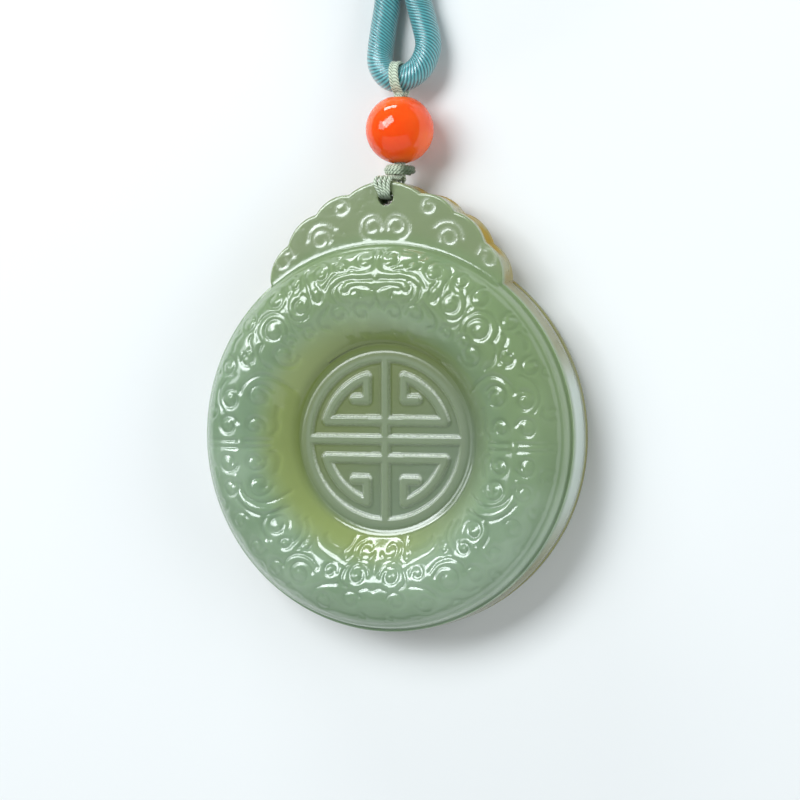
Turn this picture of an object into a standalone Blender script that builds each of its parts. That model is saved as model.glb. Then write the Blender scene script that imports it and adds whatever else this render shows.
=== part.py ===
"""Carved jade pendant on a wrapped neck cord, lying on its back.

The origin is the middle of the disc's flat back. +Y points from the disc to the crest,
+Z out of the carved face. Every length is in metres. A carving's angle is in degrees,
clockwise from the crest's middle.
"""
import math

import bmesh
import bpy
import numpy as np

# Gaps between pieces that touch
CLEARANCE = 0.0003
THREAD_GAP = 0.00012

# Disc
DISC_RADIUS = 0.02275
FACE_HEIGHT = 0.0068
RING_RISE = 0.0038
CROWN_RADIUS = 0.0173
SUNK_RADIUS = 0.0112
INNER_SLOPE_POWER = 1.8
OUTER_SLOPE_POWER = 2.6
OUTER_SLOPE_ROUND = 0.6
SIDE_BULGE = 0.00018
BACK_ROUND = 0.0012
TURNING_STEPS = 48

# Medallion in the sunk middle, a little below the disc's own middle
MEDALLION_DROP = 0.0004
STROKE_HEIGHT = 0.0004
STROKE_WIDTH = 0.0011
STROKE_ROOT = 0.0008
BAR_SPACING = 0.0022
BAR_HALF_LENGTH = 0.0070
FRAME_INNER_RADIUS = 0.0093
FRAME_OUTER_RADIUS = 0.0105
HOOK_RADIUS = 0.00765
HOOK_FROM_STEM = 0.0023
HOOK_FOOT_HEIGHT = 0.0047
HOOK_FOOT_LENGTH = 0.0016

# Crest: notches as degrees from its middle and shares of its height, lobes between them
CREST_HEIGHT = 0.0070
CREST_THICKNESS = 0.0043
CREST_STEP = 0.0002
CREST_EDGE = 0.0003
CREST_ROOT = 0.0050
CREST_NOTCHES = ((8.9, 0.83), (18.2, 0.66), (28.4, 0.39), (38.4, 0.06))
LOBE_BULGE = 0.14
LOBE_STEPS = 6

# Drilled hole
HOLE_RADIUS = 0.00095
HOLE_FROM_TOP = 0.00195
HOLE_OFFSET = 0.0002

# Carved ridges: round threads of jade, sunk by a share of their radius
RIDGE_RADIUS = 0.00042
RIDGE_SINK = 0.35
SCROLL_STEPS = 7
SCROLL_TURNS = 1.1
SCROLL_EYE = 0.3
BOSS_RADIUS = 0.0007

# Thread, doubled, and its knot
STRAND_RADIUS = 0.00028
STRANDS_APART = 0.00072
STRANDS_SPREAD = 0.00100
LOOP_GAP = 0.0003
THREAD_STEP = 0.0009
KNOT_RADIUS = 0.00185
KNOT_LENGTH = 0.00120
KNOT_TURNS = 3

# Bead
BEAD_RADIUS = 0.0040
BEAD_OFFSET = 0.0009
BEAD_MOUTH_RADIUS = 0.0015

# Neck cord: its eye on the thread's loop, then two arms side by side into a flat coil
CORD_DIAMETER = 0.0031
CORD_PITCH = 0.0032
CORD_STEP = 0.0016
CORD_FINE = 8
EYE_TO_BEAD = 0.0004
EYE_UNDER_BEAD_AXIS = 0.0006
EYE_OFFSET = 0.00035
ARMS_APART = 0.0035
ARMS_LENGTH = 0.0115
ENTRY_BEND = 0.0070
COIL_OUTER_TURN = 0.0222
COIL_TURNS = 2.5
COIL_TAIL_DEGREES = 105.0
COIL_TAIL_RADIUS = 0.0042
END_KNOT_LENGTH = 0.0085
END_KNOT_WALL = 0.0005

# Where things stand that follow from these
RING_WIDTH = DISC_RADIUS - SUNK_RADIUS
GROUND_HEIGHT = FACE_HEIGHT - STROKE_HEIGHT
CREST_TOP = DISC_RADIUS + CREST_HEIGHT
CREST_FRONT = FACE_HEIGHT + CREST_STEP
CREST_BACK = CREST_FRONT - CREST_THICKNESS
HOLE_PLACE = (HOLE_OFFSET, CREST_TOP - HOLE_FROM_TOP)
OVER_CREST = CREST_TOP + THREAD_GAP + STRAND_RADIUS
KNOT_START = OVER_CREST + STRAND_RADIUS + THREAD_GAP
BEAD_START = KNOT_START + KNOT_LENGTH + THREAD_GAP
BEAD_MIDDLE = (BEAD_OFFSET, BEAD_START + BEAD_RADIUS, BEAD_RADIUS)
BEAD_END = BEAD_START + 2 * BEAD_RADIUS
THREAD_HOLE_RADIUS = math.hypot(STRANDS_APART / 2, STRANDS_APART / 2) + STRAND_RADIUS + THREAD_GAP
CORD_RADIUS = CORD_DIAMETER / 2
EYE_BOTTOM = (EYE_OFFSET, BEAD_END + EYE_TO_BEAD + CORD_RADIUS, BEAD_RADIUS - EYE_UNDER_BEAD_AXIS)
LOOP_RADIUS = CORD_RADIUS + LOOP_GAP + STRAND_RADIUS
ARMS_END = EYE_BOTTOM[1] + ARMS_LENGTH
COIL_INNER_TURN = COIL_OUTER_TURN - COIL_TURNS * CORD_PITCH
END_KNOT_RADIUS = CORD_DIAMETER + END_KNOT_WALL

# The ring's scrolls, right half: degrees, share across the ring, radius as a share of the
# ring's width. The left half mirrors them.
TOP_SCROLLS = (
    (4.7, 0.84, 0.095), (21.3, 0.75, 0.135), (31.6, 0.56, 0.120), (19.6, 0.34, 0.085), (37.8, 0.74, 0.095),
)
SIDE_SCROLLS = (
    (45.5, 0.53, 0.150), (50.7, 0.30, 0.125), (64.0, 0.78, 0.095), (72.0, 0.36, 0.125), (75.5, 0.62, 0.140),
    (85.0, 0.30, 0.105), (99.5, 0.30, 0.110), (111.5, 0.36, 0.120), (108.0, 0.62, 0.140),
)
LOW_SCROLLS = (
    (131.2, 0.40, 0.125), (138.0, 0.67, 0.110), (147.4, 0.34, 0.095), (150.2, 0.61, 0.150),
    (173.4, 0.18, 0.115), (172.8, 0.43, 0.130),
)
# The crest's curls, right half: degrees, share up the crest, radius as a share of its height,
# and the angle at which the curl starts
CREST_CURLS = ((11.6, 0.67, 0.12, 90), (3.5, 0.26, 0.18, 150), (18.4, 0.20, 0.21, 60), (31.2, 0.17, 0.16, 60))
# The brow over the top pair, from the middle out and round: degrees, share, towards its curl
BROW = ((0.9, 0.66), (5.0, 0.67), (9.5, 0.66), (14.0, 0.63), (17.0, 0.54), (15.5, 0.43), (11.5, 0.38),
        (8.3, 0.43), (8.6, 0.51), (11.2, 0.53))
SIDE_AXIS = 92.0

# The cord's eye from its right arm to its left: across, along and lift as a share of the eye's own
EYE_POINTS = (
    (0.00200, 0.0094, 0.00), (0.00275, 0.0068, 0.03), (0.00337, 0.0040, 0.20), (0.00276, 0.0016, 0.60),
    (0.00136, 0.0003, 0.92), (0.0, 0.0, 1.0), (-0.00134, 0.0006, 0.85), (-0.00235, 0.0020, 0.55),
    (-0.00258, 0.0036, 0.25), (-0.00235, 0.0062, 0.05), (-0.00185, 0.0094, 0.00),
)


def reset():
    """Empty the file of its objects."""
    for old in list(bpy.data.objects):
        bpy.data.objects.remove(old, do_unlink=True)


def collection(name):
    """A new collection in the scene."""
    made = bpy.data.collections.new(name)
    bpy.context.scene.collection.children.link(made)
    return made


def material(name, colour, roughness, coat=0.0):
    """A Principled material of one linear colour."""
    made = bpy.data.materials.new(name)
    made.use_nodes = True
    shader = made.node_tree.nodes["Principled BSDF"]
    shader.inputs["Base Color"].default_value = (*colour, 1.0)
    shader.inputs["Roughness"].default_value = roughness
    shader.inputs["Metallic"].default_value = 0.0
    shader.inputs["Coat Weight"].default_value = coat
    return made


def new_object(name, data, group):
    """An object with its data in a collection."""
    made = bpy.data.objects.new(name, data)
    group.objects.link(made)
    return made


def as_mesh(source):
    """Replace an object by the mesh that its modifiers or its curve make, caps welded."""
    graph = bpy.context.evaluated_depsgraph_get()
    mesh = bpy.data.meshes.new_from_object(source.evaluated_get(graph))
    shape = bmesh.new()
    shape.from_mesh(mesh)
    bmesh.ops.remove_doubles(shape, verts=shape.verts, dist=1e-6)
    shape.to_mesh(mesh)
    shape.free()
    name, group, place = source.name, source.users_collection[0], source.matrix_world.copy()
    bpy.data.objects.remove(source, do_unlink=True)
    made = new_object(name, mesh, group)
    made.matrix_world = place
    return made


def turned(name, profile, group, steps=TURNING_STEPS):
    """A solid turned about Z from (radius, height) points, given from its top to its bottom."""
    mesh = bpy.data.meshes.new(name)
    mesh.from_pydata([(r, 0.0, z) for r, z in profile], [(i, i + 1) for i in range(len(profile) - 1)], [])
    made = new_object(name, mesh, group)
    screw = made.modifiers.new("Turn", "SCREW")
    screw.steps = screw.render_steps = steps
    screw.use_merge_vertices = True
    screw.merge_threshold = 1e-6
    return as_mesh(made)


def smooth(points, step, closed=False):
    """Points at an even step along the Catmull-Rom curve through the given ones."""
    knots = np.array(points, float)
    if closed:
        knots = np.vstack([knots[-1], knots, knots[:2]])
    else:
        knots = np.vstack([2 * knots[0] - knots[1], knots, 2 * knots[-1] - knots[-2]])
    t = np.linspace(0, 1, 24, endpoint=False)[:, None]
    pieces = []
    for a, b, c, d in zip(knots, knots[1:], knots[2:], knots[3:]):
        pieces.append(0.5 * (2 * b + (c - a) * t + (2 * a - 5 * b + 4 * c - d) * t**2
                             + (3 * b - a - 3 * c + d) * t**3))
    line = np.vstack([*pieces, knots[-2]])
    along = np.concatenate([[0], np.cumsum(np.linalg.norm(np.diff(line, axis=0), axis=1))])
    count = max(2, int(round(along[-1] / step)))
    stops = np.linspace(0, along[-1], count, endpoint=False) if closed else np.linspace(0, along[-1], count + 1)
    return np.stack([np.interp(stops, along, line[:, k]) for k in range(3)], axis=1)


def wire(name, points, radius, group, closed=False, roundness=2):
    """A round wire along points."""
    curve = bpy.data.curves.new(name, "CURVE")
    curve.dimensions = "3D"
    curve.bevel_depth = radius
    curve.bevel_resolution = roundness
    curve.use_fill_caps = True
    spline = curve.splines.new("POLY")
    spline.points.add(len(points) - 1)
    spline.points.foreach_set("co", np.hstack([points, np.ones((len(points), 1))]).ravel())
    spline.use_cyclic_u = closed
    return new_object(name, curve, group)


def ease(share):
    """A share from 0 to 1, held inside it and eased at both ends."""
    held = min(1.0, max(0.0, share))
    return held * held * (3 - 2 * held)


def ring_surface(radius):
    """Height of the ring's face at a distance from its middle: a long slope in, a round shoulder out."""
    if radius <= CROWN_RADIUS:
        t = min(1.0, (CROWN_RADIUS - radius) / (CROWN_RADIUS - SUNK_RADIUS))
        return FACE_HEIGHT + RING_RISE * (1 - t**INNER_SLOPE_POWER)
    t = min(1.0, (radius - CROWN_RADIUS) / (DISC_RADIUS - CROWN_RADIUS))
    return FACE_HEIGHT + RING_RISE * (1 - t**OUTER_SLOPE_POWER) ** OUTER_SLOPE_ROUND


def medallion_shift(radius):
    """How much of the medallion's drop a point takes: all of it inside, none from the crown out."""
    return ease((CROWN_RADIUS - radius) / (CROWN_RADIUS - SUNK_RADIUS))


def ring_place(degrees, share, side=1):
    """The point on the ring's face at an angle from the crest's middle and a share across its width."""
    radius = SUNK_RADIUS + share * RING_WIDTH
    angle = math.radians(degrees)
    y = radius * math.cos(angle) - MEDALLION_DROP * medallion_shift(radius)
    return side * radius * math.sin(angle), y, ring_surface(radius)


def crest_place(degrees, share, side=1):
    """The point on the crest at an angle from its middle and a share of its height past the disc."""
    radius = DISC_RADIUS + share * CREST_HEIGHT
    angle = math.radians(degrees)
    return side * radius * math.sin(angle), radius * math.cos(angle)


def surface_height(x, y):
    """Height of the carved face under a point of the ring or the crest."""
    radius = math.hypot(x, y)
    if y > 0 and radius > DISC_RADIUS - RIDGE_RADIUS:
        return CREST_FRONT
    return ring_surface(radius)


def disc(group):
    """The disc: a turned solid whose middle is moved down by the medallion's drop."""
    inner = [SUNK_RADIUS + (CROWN_RADIUS - SUNK_RADIUS) * k / 4 for k in range(5)]
    outer = [CROWN_RADIUS + (DISC_RADIUS - CROWN_RADIUS) * t for t in (0.35, 0.65, 0.85, 0.96, 1.0)]
    profile = [
        (0.0, GROUND_HEIGHT),
        (FRAME_INNER_RADIUS, GROUND_HEIGHT),
        (FRAME_INNER_RADIUS, FACE_HEIGHT),
        (FRAME_OUTER_RADIUS, FACE_HEIGHT),
        (FRAME_OUTER_RADIUS, GROUND_HEIGHT),
        (SUNK_RADIUS - STROKE_HEIGHT, GROUND_HEIGHT),
    ]
    profile += [(r, ring_surface(r)) for r in inner + outer]
    profile += [
        (DISC_RADIUS + SIDE_BULGE, FACE_HEIGHT / 2),
        (DISC_RADIUS, BACK_ROUND),
        (DISC_RADIUS - 0.3 * BACK_ROUND, 0.3 * BACK_ROUND),
        (DISC_RADIUS - BACK_ROUND, 0.0),
        (0.0, 0.0),
    ]
    made = turned("jade_pendant", profile, group)
    for vertex in made.data.vertices:
        if vertex.co.z > GROUND_HEIGHT / 2:
            vertex.co.y -= MEDALLION_DROP * medallion_shift(math.hypot(vertex.co.x, vertex.co.y))
    return made


def lobe(start, end, bulge):
    """Points of the arc from one notch to the next, without its end; bulge is its rise as a share of
    its chord."""
    start, end = np.array(start), np.array(end)
    chord = end - start
    normal = np.array([chord[1], -chord[0]])
    radius_share = 0.125 / bulge + bulge / 2
    half = math.asin(0.5 / radius_share)
    angles = np.linspace(-half, half, LOBE_STEPS, endpoint=False)[:, None]
    across = radius_share * np.sin(angles) + 0.5
    rise = radius_share * np.cos(angles) - (radius_share - bulge)
    return (start + across * chord + rise * normal).tolist()


def crest(group):
    """The crest: a flat plate with scalloped lobes, rooted in the ring."""
    right = [crest_place(degrees, share) for degrees, share in CREST_NOTCHES]
    notches = [*reversed(right), *[(-x, y) for x, y in right]]
    top_chord = 2 * right[0][0]
    outline = [(right[-1][0] - CREST_ROOT / 2, right[-1][1] - CREST_ROOT)]
    for start, end in zip(notches, notches[1:]):
        middle = abs(start[0] + end[0]) < 1e-9
        bulge = (CREST_TOP - right[0][1]) / top_chord if middle else LOBE_BULGE
        outline += lobe(start, end, bulge)
    outline += [notches[-1], (-outline[0][0], outline[0][1])]
    curve = bpy.data.curves.new("crest", "CURVE")
    curve.dimensions = "2D"
    curve.fill_mode = "BOTH"
    curve.extrude = CREST_THICKNESS / 2 - CREST_EDGE
    curve.bevel_depth = CREST_EDGE
    curve.bevel_resolution = 1
    curve.offset = -CREST_EDGE
    spline = curve.splines.new("POLY")
    spline.points.add(len(outline) - 1)
    spline.points.foreach_set("co", np.array([(x, y, 0.0, 1.0) for x, y in outline]).ravel())
    spline.use_cyclic_u = True
    made = new_object("crest", curve, group)
    made.location.z = CREST_FRONT - CREST_THICKNESS / 2
    bpy.context.view_layer.update()
    return as_mesh(made)


def stroke(name, points, group):
    """A raised stroke of the medallion: a standing ribbon along points, thickened to its width."""
    low = GROUND_HEIGHT - STROKE_ROOT
    count = len(points)
    verts = [(x, y - MEDALLION_DROP, z) for z in (low, FACE_HEIGHT) for x, y in points]
    faces = [(i, i + 1, count + i + 1, count + i) for i in range(count - 1)]
    mesh = bpy.data.meshes.new(name)
    mesh.from_pydata(verts, [], faces)
    made = new_object(name, mesh, group)
    wall = made.modifiers.new("Width", "SOLIDIFY")
    wall.thickness = STROKE_WIDTH
    wall.offset = 0.0
    wall.use_even_offset = True
    return as_mesh(made)


def medallion(group):
    """The round shou figure: a stem, three bars and four hooked arcs."""
    frame = (FRAME_INNER_RADIUS + FRAME_OUTER_RADIUS) / 2
    stroke("stem", [(0.0, -frame), (0.0, frame)], group)
    for row in (-1, 0, 1):
        half = frame if row == 0 else BAR_HALF_LENGTH
        stroke(f"bar_{row}", [(-half, row * BAR_SPACING), (half, row * BAR_SPACING)], group)
    start = math.asin(BAR_SPACING / HOOK_RADIUS)
    end = math.acos(HOOK_FROM_STEM / HOOK_RADIUS)
    arc = [(HOOK_RADIUS * math.cos(a), HOOK_RADIUS * math.sin(a)) for a in np.linspace(start, end, 8)]
    hook = [*arc, (HOOK_FROM_STEM, HOOK_FOOT_HEIGHT), (HOOK_FROM_STEM + HOOK_FOOT_LENGTH, HOOK_FOOT_HEIGHT)]
    for across in (1, -1):
        for up in (1, -1):
            stroke(f"hook_{across}_{up}", [(across * x, up * y) for x, y in hook], group)


def ridge(name, flat_points, group):
    """A raised thread of jade that follows the face."""
    sink = RIDGE_SINK * RIDGE_RADIUS
    points = np.array([(x, y, surface_height(x, y) - sink) for x, y in flat_points])
    return as_mesh(wire(name, points, RIDGE_RADIUS, group, roundness=0))


def scroll(name, middle, radius, start, side, group):
    """A curl: a spiral that winds in from its outer turn to its eye."""
    turns = np.linspace(0, 1, SCROLL_STEPS)
    angles = math.radians(start) - 2 * math.pi * SCROLL_TURNS * turns
    spiral = radius * (1 - (1 - SCROLL_EYE) * turns)
    points = [(middle[0] + side * r * math.cos(a), middle[1] + r * math.sin(a)) for r, a in zip(spiral, angles)]
    return ridge(name, points, group)


def boss(name, place, group):
    """A small four-sided boss, its point out of the face."""
    shape = bmesh.new()
    bmesh.ops.create_cone(shape, cap_ends=True, segments=4, radius1=BOSS_RADIUS, radius2=BOSS_RADIUS / 3,
                          depth=BOSS_RADIUS)
    mesh = bpy.data.meshes.new(name)
    shape.to_mesh(mesh)
    shape.free()
    made = new_object(name, mesh, group)
    made.data.transform(made.matrix_world.Translation(place))
    return made


def carving(group):
    """Every scroll, curl, brow, bar and boss, the left half mirroring the right."""
    for side in (1, -1):
        hand = "right" if side == 1 else "left"
        for row, scrolls in (("top", TOP_SCROLLS), ("side", SIDE_SCROLLS), ("low", LOW_SCROLLS)):
            for number, (degrees, share, size) in enumerate(scrolls):
                x, y, _ = ring_place(degrees, share)
                start = 180 - degrees if number % 2 else -degrees
                scroll(f"scroll_{row}_{number}_{hand}", (side * x, y), size * RING_WIDTH, start, side, group)
        for number, (degrees, share, size, start) in enumerate(CREST_CURLS):
            x, y = crest_place(degrees, share, side)
            scroll(f"crest_curl_{number}_{hand}", (x, y), size * CREST_HEIGHT, start, side, group)
        brow = [ring_place(degrees, share, side)[:2] for degrees, share in BROW]
        ridge(f"brow_{hand}", brow, group)
        axis_bar = [ring_place(SIDE_AXIS, share, side)[:2] for share in (0.25, 0.35, 0.45, 0.55, 0.62)]
        ridge(f"side_bar_{hand}", axis_bar, group)
        boss(f"side_boss_{hand}", ring_place(SIDE_AXIS, 0.48, side), group)
    boss("top_boss", ring_place(0.0, 0.645), group)
    boss("low_boss", ring_place(180.0, 0.30), group)


def jade_pendant(group, cutters, paint):
    """Disc, crest and carving joined into one stone, then drilled."""
    parts = collection("Carving")
    stone = disc(group)
    crest(parts)
    medallion(parts)
    carving(parts)
    join = stone.modifiers.new("Join", "BOOLEAN")
    join.operation = "UNION"
    join.operand_type = "COLLECTION"
    join.collection = parts
    join.solver = "EXACT"
    stone = as_mesh(stone)
    for piece in list(parts.objects):
        bpy.data.objects.remove(piece, do_unlink=True)
    bpy.ops.mesh.primitive_cylinder_add(vertices=20, radius=HOLE_RADIUS, depth=3 * CREST_THICKNESS)
    drill = bpy.context.object
    drill.name = "drill"
    drill.location = (*HOLE_PLACE, CREST_BACK)
    drill.hide_render = True
    drill.display_type = "WIRE"
    for used in list(drill.users_collection):
        used.objects.unlink(drill)
    cutters.objects.link(drill)
    cut = stone.modifiers.new("Drill", "BOOLEAN")
    cut.operation = "DIFFERENCE"
    cut.object = drill
    cut.solver = "EXACT"
    stone.data.materials.append(paint)
    return stone


def thread_route(side):
    """One turn of the doubled thread: round the cord, through bead and knot, round the crest."""
    spread = side * STRANDS_SPREAD / 2
    near = side * STRANDS_APART / 2
    half = STRANDS_APART / 2
    low, high = BEAD_RADIUS - half, BEAD_RADIUS + half
    front = CREST_FRONT + THREAD_GAP + STRAND_RADIUS
    back = CREST_BACK - THREAD_GAP - STRAND_RADIUS
    hole_x, hole_y = HOLE_PLACE
    in_hole = side * (STRAND_RADIUS + THREAD_GAP / 2)
    bend = HOLE_RADIUS - STRAND_RADIUS - THREAD_GAP
    loop = []
    for degrees in (150, 115, 80, 45, 10, -25, -60, -95, -130, -158):
        angle = math.radians(degrees)
        x = BEAD_OFFSET + (EYE_OFFSET - BEAD_OFFSET) * (1 + math.cos(angle)) / 2
        loop.append((x + near, EYE_BOTTOM[1] + LOOP_RADIUS * math.cos(angle),
                     EYE_BOTTOM[2] + LOOP_RADIUS * math.sin(angle)))

    def run(z, out, mouth):
        top = CREST_TOP - STRAND_RADIUS
        return [
            (BEAD_OFFSET + near, BEAD_END - STRAND_RADIUS, z),
            (BEAD_OFFSET + near, BEAD_START, z),
            (BEAD_OFFSET + near, KNOT_START + THREAD_GAP, z),
            (BEAD_OFFSET * 0.7 + spread, OVER_CREST, z + (out - z) * 0.35),
            (BEAD_OFFSET * 0.4 + spread, OVER_CREST, out - (out - z) * 0.15),
            (BEAD_OFFSET * 0.3 + spread, top, out),
            (hole_x + spread * 0.8, hole_y + HOLE_RADIUS * 0.85, out),
            (hole_x + in_hole, hole_y + bend * 0.3, out - mouth),
        ]
    lip = 2 * STRAND_RADIUS
    behind = run(low, back, -lip)
    before = run(high, front, lip)
    return [*loop, *behind, *reversed(before)]


def thread(group, paint):
    """The thread passes twice, so it shows as two strands everywhere."""
    for number, side in enumerate((1, -1), start=1):
        points = smooth(thread_route(side), THREAD_STEP, closed=True)
        made = as_mesh(wire(f"hanging_thread_{number}", points, STRAND_RADIUS, group, closed=True, roundness=1))
        made.data.materials.append(paint)


def along_y(made, y):
    """Lay a turned piece down with its axis on the thread's line, its top at y."""
    made.rotation_euler = (-math.pi / 2, 0.0, 0.0)
    made.location = (BEAD_OFFSET, y, BEAD_RADIUS)


def wrapped_knot(group, paint):
    """Turns of thread wound round the doubled strands, a bored barrel of rounded rings."""
    turn = KNOT_LENGTH / KNOT_TURNS
    groove = KNOT_RADIUS - turn / 3
    profile = [(THREAD_HOLE_RADIUS, KNOT_LENGTH), (groove, KNOT_LENGTH)]
    for number in range(KNOT_TURNS):
        top = KNOT_LENGTH - number * turn
        profile += [(KNOT_RADIUS, top - turn * 0.25), (KNOT_RADIUS, top - turn * 0.75), (groove, top - turn)]
    profile += [(THREAD_HOLE_RADIUS, 0.0), (THREAD_HOLE_RADIUS, KNOT_LENGTH)]
    made = turned("wrapped_knot", profile, group, steps=18)
    along_y(made, KNOT_START)
    made.data.materials.append(paint)


def bead(group, paint):
    """The round bead, drilled, with a countersunk mouth where the thread leaves it for the cord."""
    start = math.asin(THREAD_HOLE_RADIUS / BEAD_RADIUS)
    mouth = math.asin(BEAD_MOUTH_RADIUS / BEAD_RADIUS)
    arc = [(BEAD_RADIUS * math.sin(a), BEAD_RADIUS * math.cos(a)) for a in np.linspace(mouth, math.pi - start, 12)]
    countersink = BEAD_RADIUS * math.cos(mouth) - (BEAD_MOUTH_RADIUS - THREAD_HOLE_RADIUS) * 1.4
    profile = [(THREAD_HOLE_RADIUS, countersink), *arc, (THREAD_HOLE_RADIUS, countersink)]
    made = turned("bead", profile, group, steps=24)
    along_y(made, BEAD_MIDDLE[1])
    made.data.materials.append(paint)


def coil_middle():
    """The middle of the coil: where a bend of the arms meets its outer turn."""
    cosine = (ENTRY_BEND - EYE_OFFSET) / (ENTRY_BEND + COIL_OUTER_TURN)
    rise = (ENTRY_BEND + COIL_OUTER_TURN) * math.sqrt(1 - cosine**2)
    return 0.0, ARMS_END + rise, math.acos(cosine)


def arm_points(side):
    """One arm from the eye to the coil: side by side at first, then one above the other."""
    _, _, turn = coil_middle()
    points = []
    for share in np.linspace(0, 1, 7)[1:]:
        angle = turn * share
        apart = side * ARMS_APART / 2 * math.cos(share * math.pi / 2)
        lift = CORD_PITCH * math.sin(share * math.pi / 2) if side > 0 else 0.0
        reach = ENTRY_BEND + apart
        points.append((EYE_OFFSET - ENTRY_BEND + reach * math.cos(angle), ARMS_END + reach * math.sin(angle),
                       CORD_RADIUS + lift))
    return points


def cord_route():
    """The neck cord's open stretch: out of the coil, round the eye and back to the coil."""
    lift = EYE_BOTTOM[2] - CORD_RADIUS
    eye = [(EYE_OFFSET + x, EYE_BOTTOM[1] + y, CORD_RADIUS + share * lift) for x, y, share in EYE_POINTS]
    return [*reversed(arm_points(1)), *eye, *arm_points(-1)]


def tail_points(level):
    """The cord's last stretch, winding in from the coil's inner turn to the knot; level 0 or 1."""
    x, y, _ = coil_middle()
    points = []
    for share in np.linspace(0, 1, 8):
        radius = COIL_INNER_TURN + (COIL_TAIL_RADIUS - COIL_INNER_TURN) * ease(share)
        angle = math.radians(tail_start() - COIL_TAIL_DEGREES * share)
        height = CORD_RADIUS + level * CORD_PITCH + END_KNOT_WALL * share
        points.append((x + radius * math.cos(angle), y + radius * math.sin(angle), height))
    return points


def tail_start():
    """The angle about the coil's middle, in degrees, at which the turns end."""
    _, _, turn = coil_middle()
    entry = -90 - (90 - math.degrees(turn))
    return entry - 360 * COIL_TURNS


def clear_of_coil(route, wall, side):
    """An even stretch of a route whose ends stop just short of the coil's wall; side is 1 outside the
    coil and -1 in its bore. A cut end reaches nearer by its radius times the sine of its heading's angle
    to the coil's middle."""
    x, y, _ = coil_middle()
    line = smooth(route, CORD_STEP / CORD_FINE)
    out = line[:, :2] - (x, y)
    distance = np.linalg.norm(out, axis=1)
    heading = np.gradient(line[:, :2], axis=0)
    turn = np.abs(out[:, 0] * heading[:, 1] - out[:, 1] * heading[:, 0]) / (
        distance * np.linalg.norm(heading, axis=1))
    line = line[side * (distance - wall) - CORD_RADIUS * turn > CLEARANCE]
    return line[np.unique(np.append(np.arange(0, len(line), CORD_FINE), len(line) - 1))]


def neck_cord(group, paint):
    """The cord's open stretch, the solid of its coil, its two ends and the knot that binds them."""
    x, y, _ = coil_middle()
    reach = COIL_OUTER_TURN + CORD_PITCH / 2
    bore = COIL_INNER_TURN - CORD_PITCH / 2
    open_stretch = clear_of_coil(cord_route(), reach, 1)
    wire("neck_cord", open_stretch, CORD_RADIUS, group).data.materials.append(paint)
    height = CORD_DIAMETER + CORD_PITCH
    edge = CORD_RADIUS / 2
    profile = [(bore, height), (reach - edge, height), (reach, height - edge), (reach, edge), (reach - edge, 0.0),
               (bore, 0.0), (bore, height)]
    coil = turned("neck_cord_coil", profile, group, steps=48)
    coil.location = (x, y, 0.0)
    coil.data.materials.append(paint)
    last = np.array(tail_points(0)[-2:])
    heading = (last[1] - last[0]) / np.linalg.norm(last[1] - last[0])
    for level in (0, 1):
        tail = clear_of_coil(tail_points(level), bore, -1)
        wire(f"neck_cord_end_{level + 1}", tail, CORD_RADIUS, group).data.materials.append(paint)
    edge = END_KNOT_WALL
    profile = [(0.0, END_KNOT_LENGTH), (END_KNOT_RADIUS - edge, END_KNOT_LENGTH),
               (END_KNOT_RADIUS, END_KNOT_LENGTH - edge), (END_KNOT_RADIUS, edge), (END_KNOT_RADIUS - edge, 0.0),
               (0.0, 0.0)]
    knot = turned("neck_cord_knot", profile, group, steps=28)
    start = last[1] + heading * CLEARANCE
    knot.rotation_euler = (math.pi / 2, 0.0, math.atan2(heading[1], heading[0]) + math.pi / 2)
    knot.location = (start[0], start[1], END_KNOT_RADIUS)
    knot.data.materials.append(paint)


def main():
    """Make every piece."""
    reset()
    group = collection("Jade pendant")
    cutters = collection("Cutters")
    jade = material("Polished jade", (0.33, 0.43, 0.28), 0.2, coat=0.4)
    silk = material("Sage thread", (0.40, 0.45, 0.33), 0.6)
    agate = material("Orange-red bead", (0.85, 0.11, 0.02), 0.12, coat=0.5)
    teal = material("Teal wrapped cord", (0.11, 0.36, 0.36), 0.5)
    jade_pendant(group, cutters, jade)
    thread(group, silk)
    wrapped_knot(group, silk)
    bead(group, agate)
    neck_cord(group, teal)
    for piece in group.objects:
        if piece.type == "MESH":
            piece.data.shade_smooth()
            piece.data.set_sharp_from_angle(angle=math.radians(35))


main()
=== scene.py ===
"""Carved jade pendant on its thread, bead and wrapped neck cord, lying on its back.

The frame's origin is the middle of the disc's flat back, +Y points to the crest and +Z out of
the carved face. Lengths are in metres. Angles on the jade are in degrees, clockwise from the
crest's middle.
"""
import math

import bmesh
import bpy
import numpy as np
from mathutils import Matrix


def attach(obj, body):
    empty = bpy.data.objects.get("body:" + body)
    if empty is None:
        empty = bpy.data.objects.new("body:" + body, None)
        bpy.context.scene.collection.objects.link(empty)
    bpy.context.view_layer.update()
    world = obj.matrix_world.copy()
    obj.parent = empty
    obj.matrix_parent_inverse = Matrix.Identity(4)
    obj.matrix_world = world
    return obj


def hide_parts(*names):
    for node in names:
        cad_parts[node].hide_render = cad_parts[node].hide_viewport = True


bl_info = {
    "name": "Carved jade pendant",
    "version": (1, 0, 0),
    "blender": (4, 5, 0),
    "location": "View3D > Sidebar > Pendant",
    "description": "Builds a carved jade pendant with its thread, bead and wrapped neck cord",
    "category": "Add Mesh",
}

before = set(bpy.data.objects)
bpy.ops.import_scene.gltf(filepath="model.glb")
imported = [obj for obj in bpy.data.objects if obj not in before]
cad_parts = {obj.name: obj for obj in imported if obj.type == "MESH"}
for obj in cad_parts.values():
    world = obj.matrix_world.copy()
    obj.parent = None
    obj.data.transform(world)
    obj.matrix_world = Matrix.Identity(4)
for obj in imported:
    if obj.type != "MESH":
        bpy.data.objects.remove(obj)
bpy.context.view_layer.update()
MM = 0.001

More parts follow.
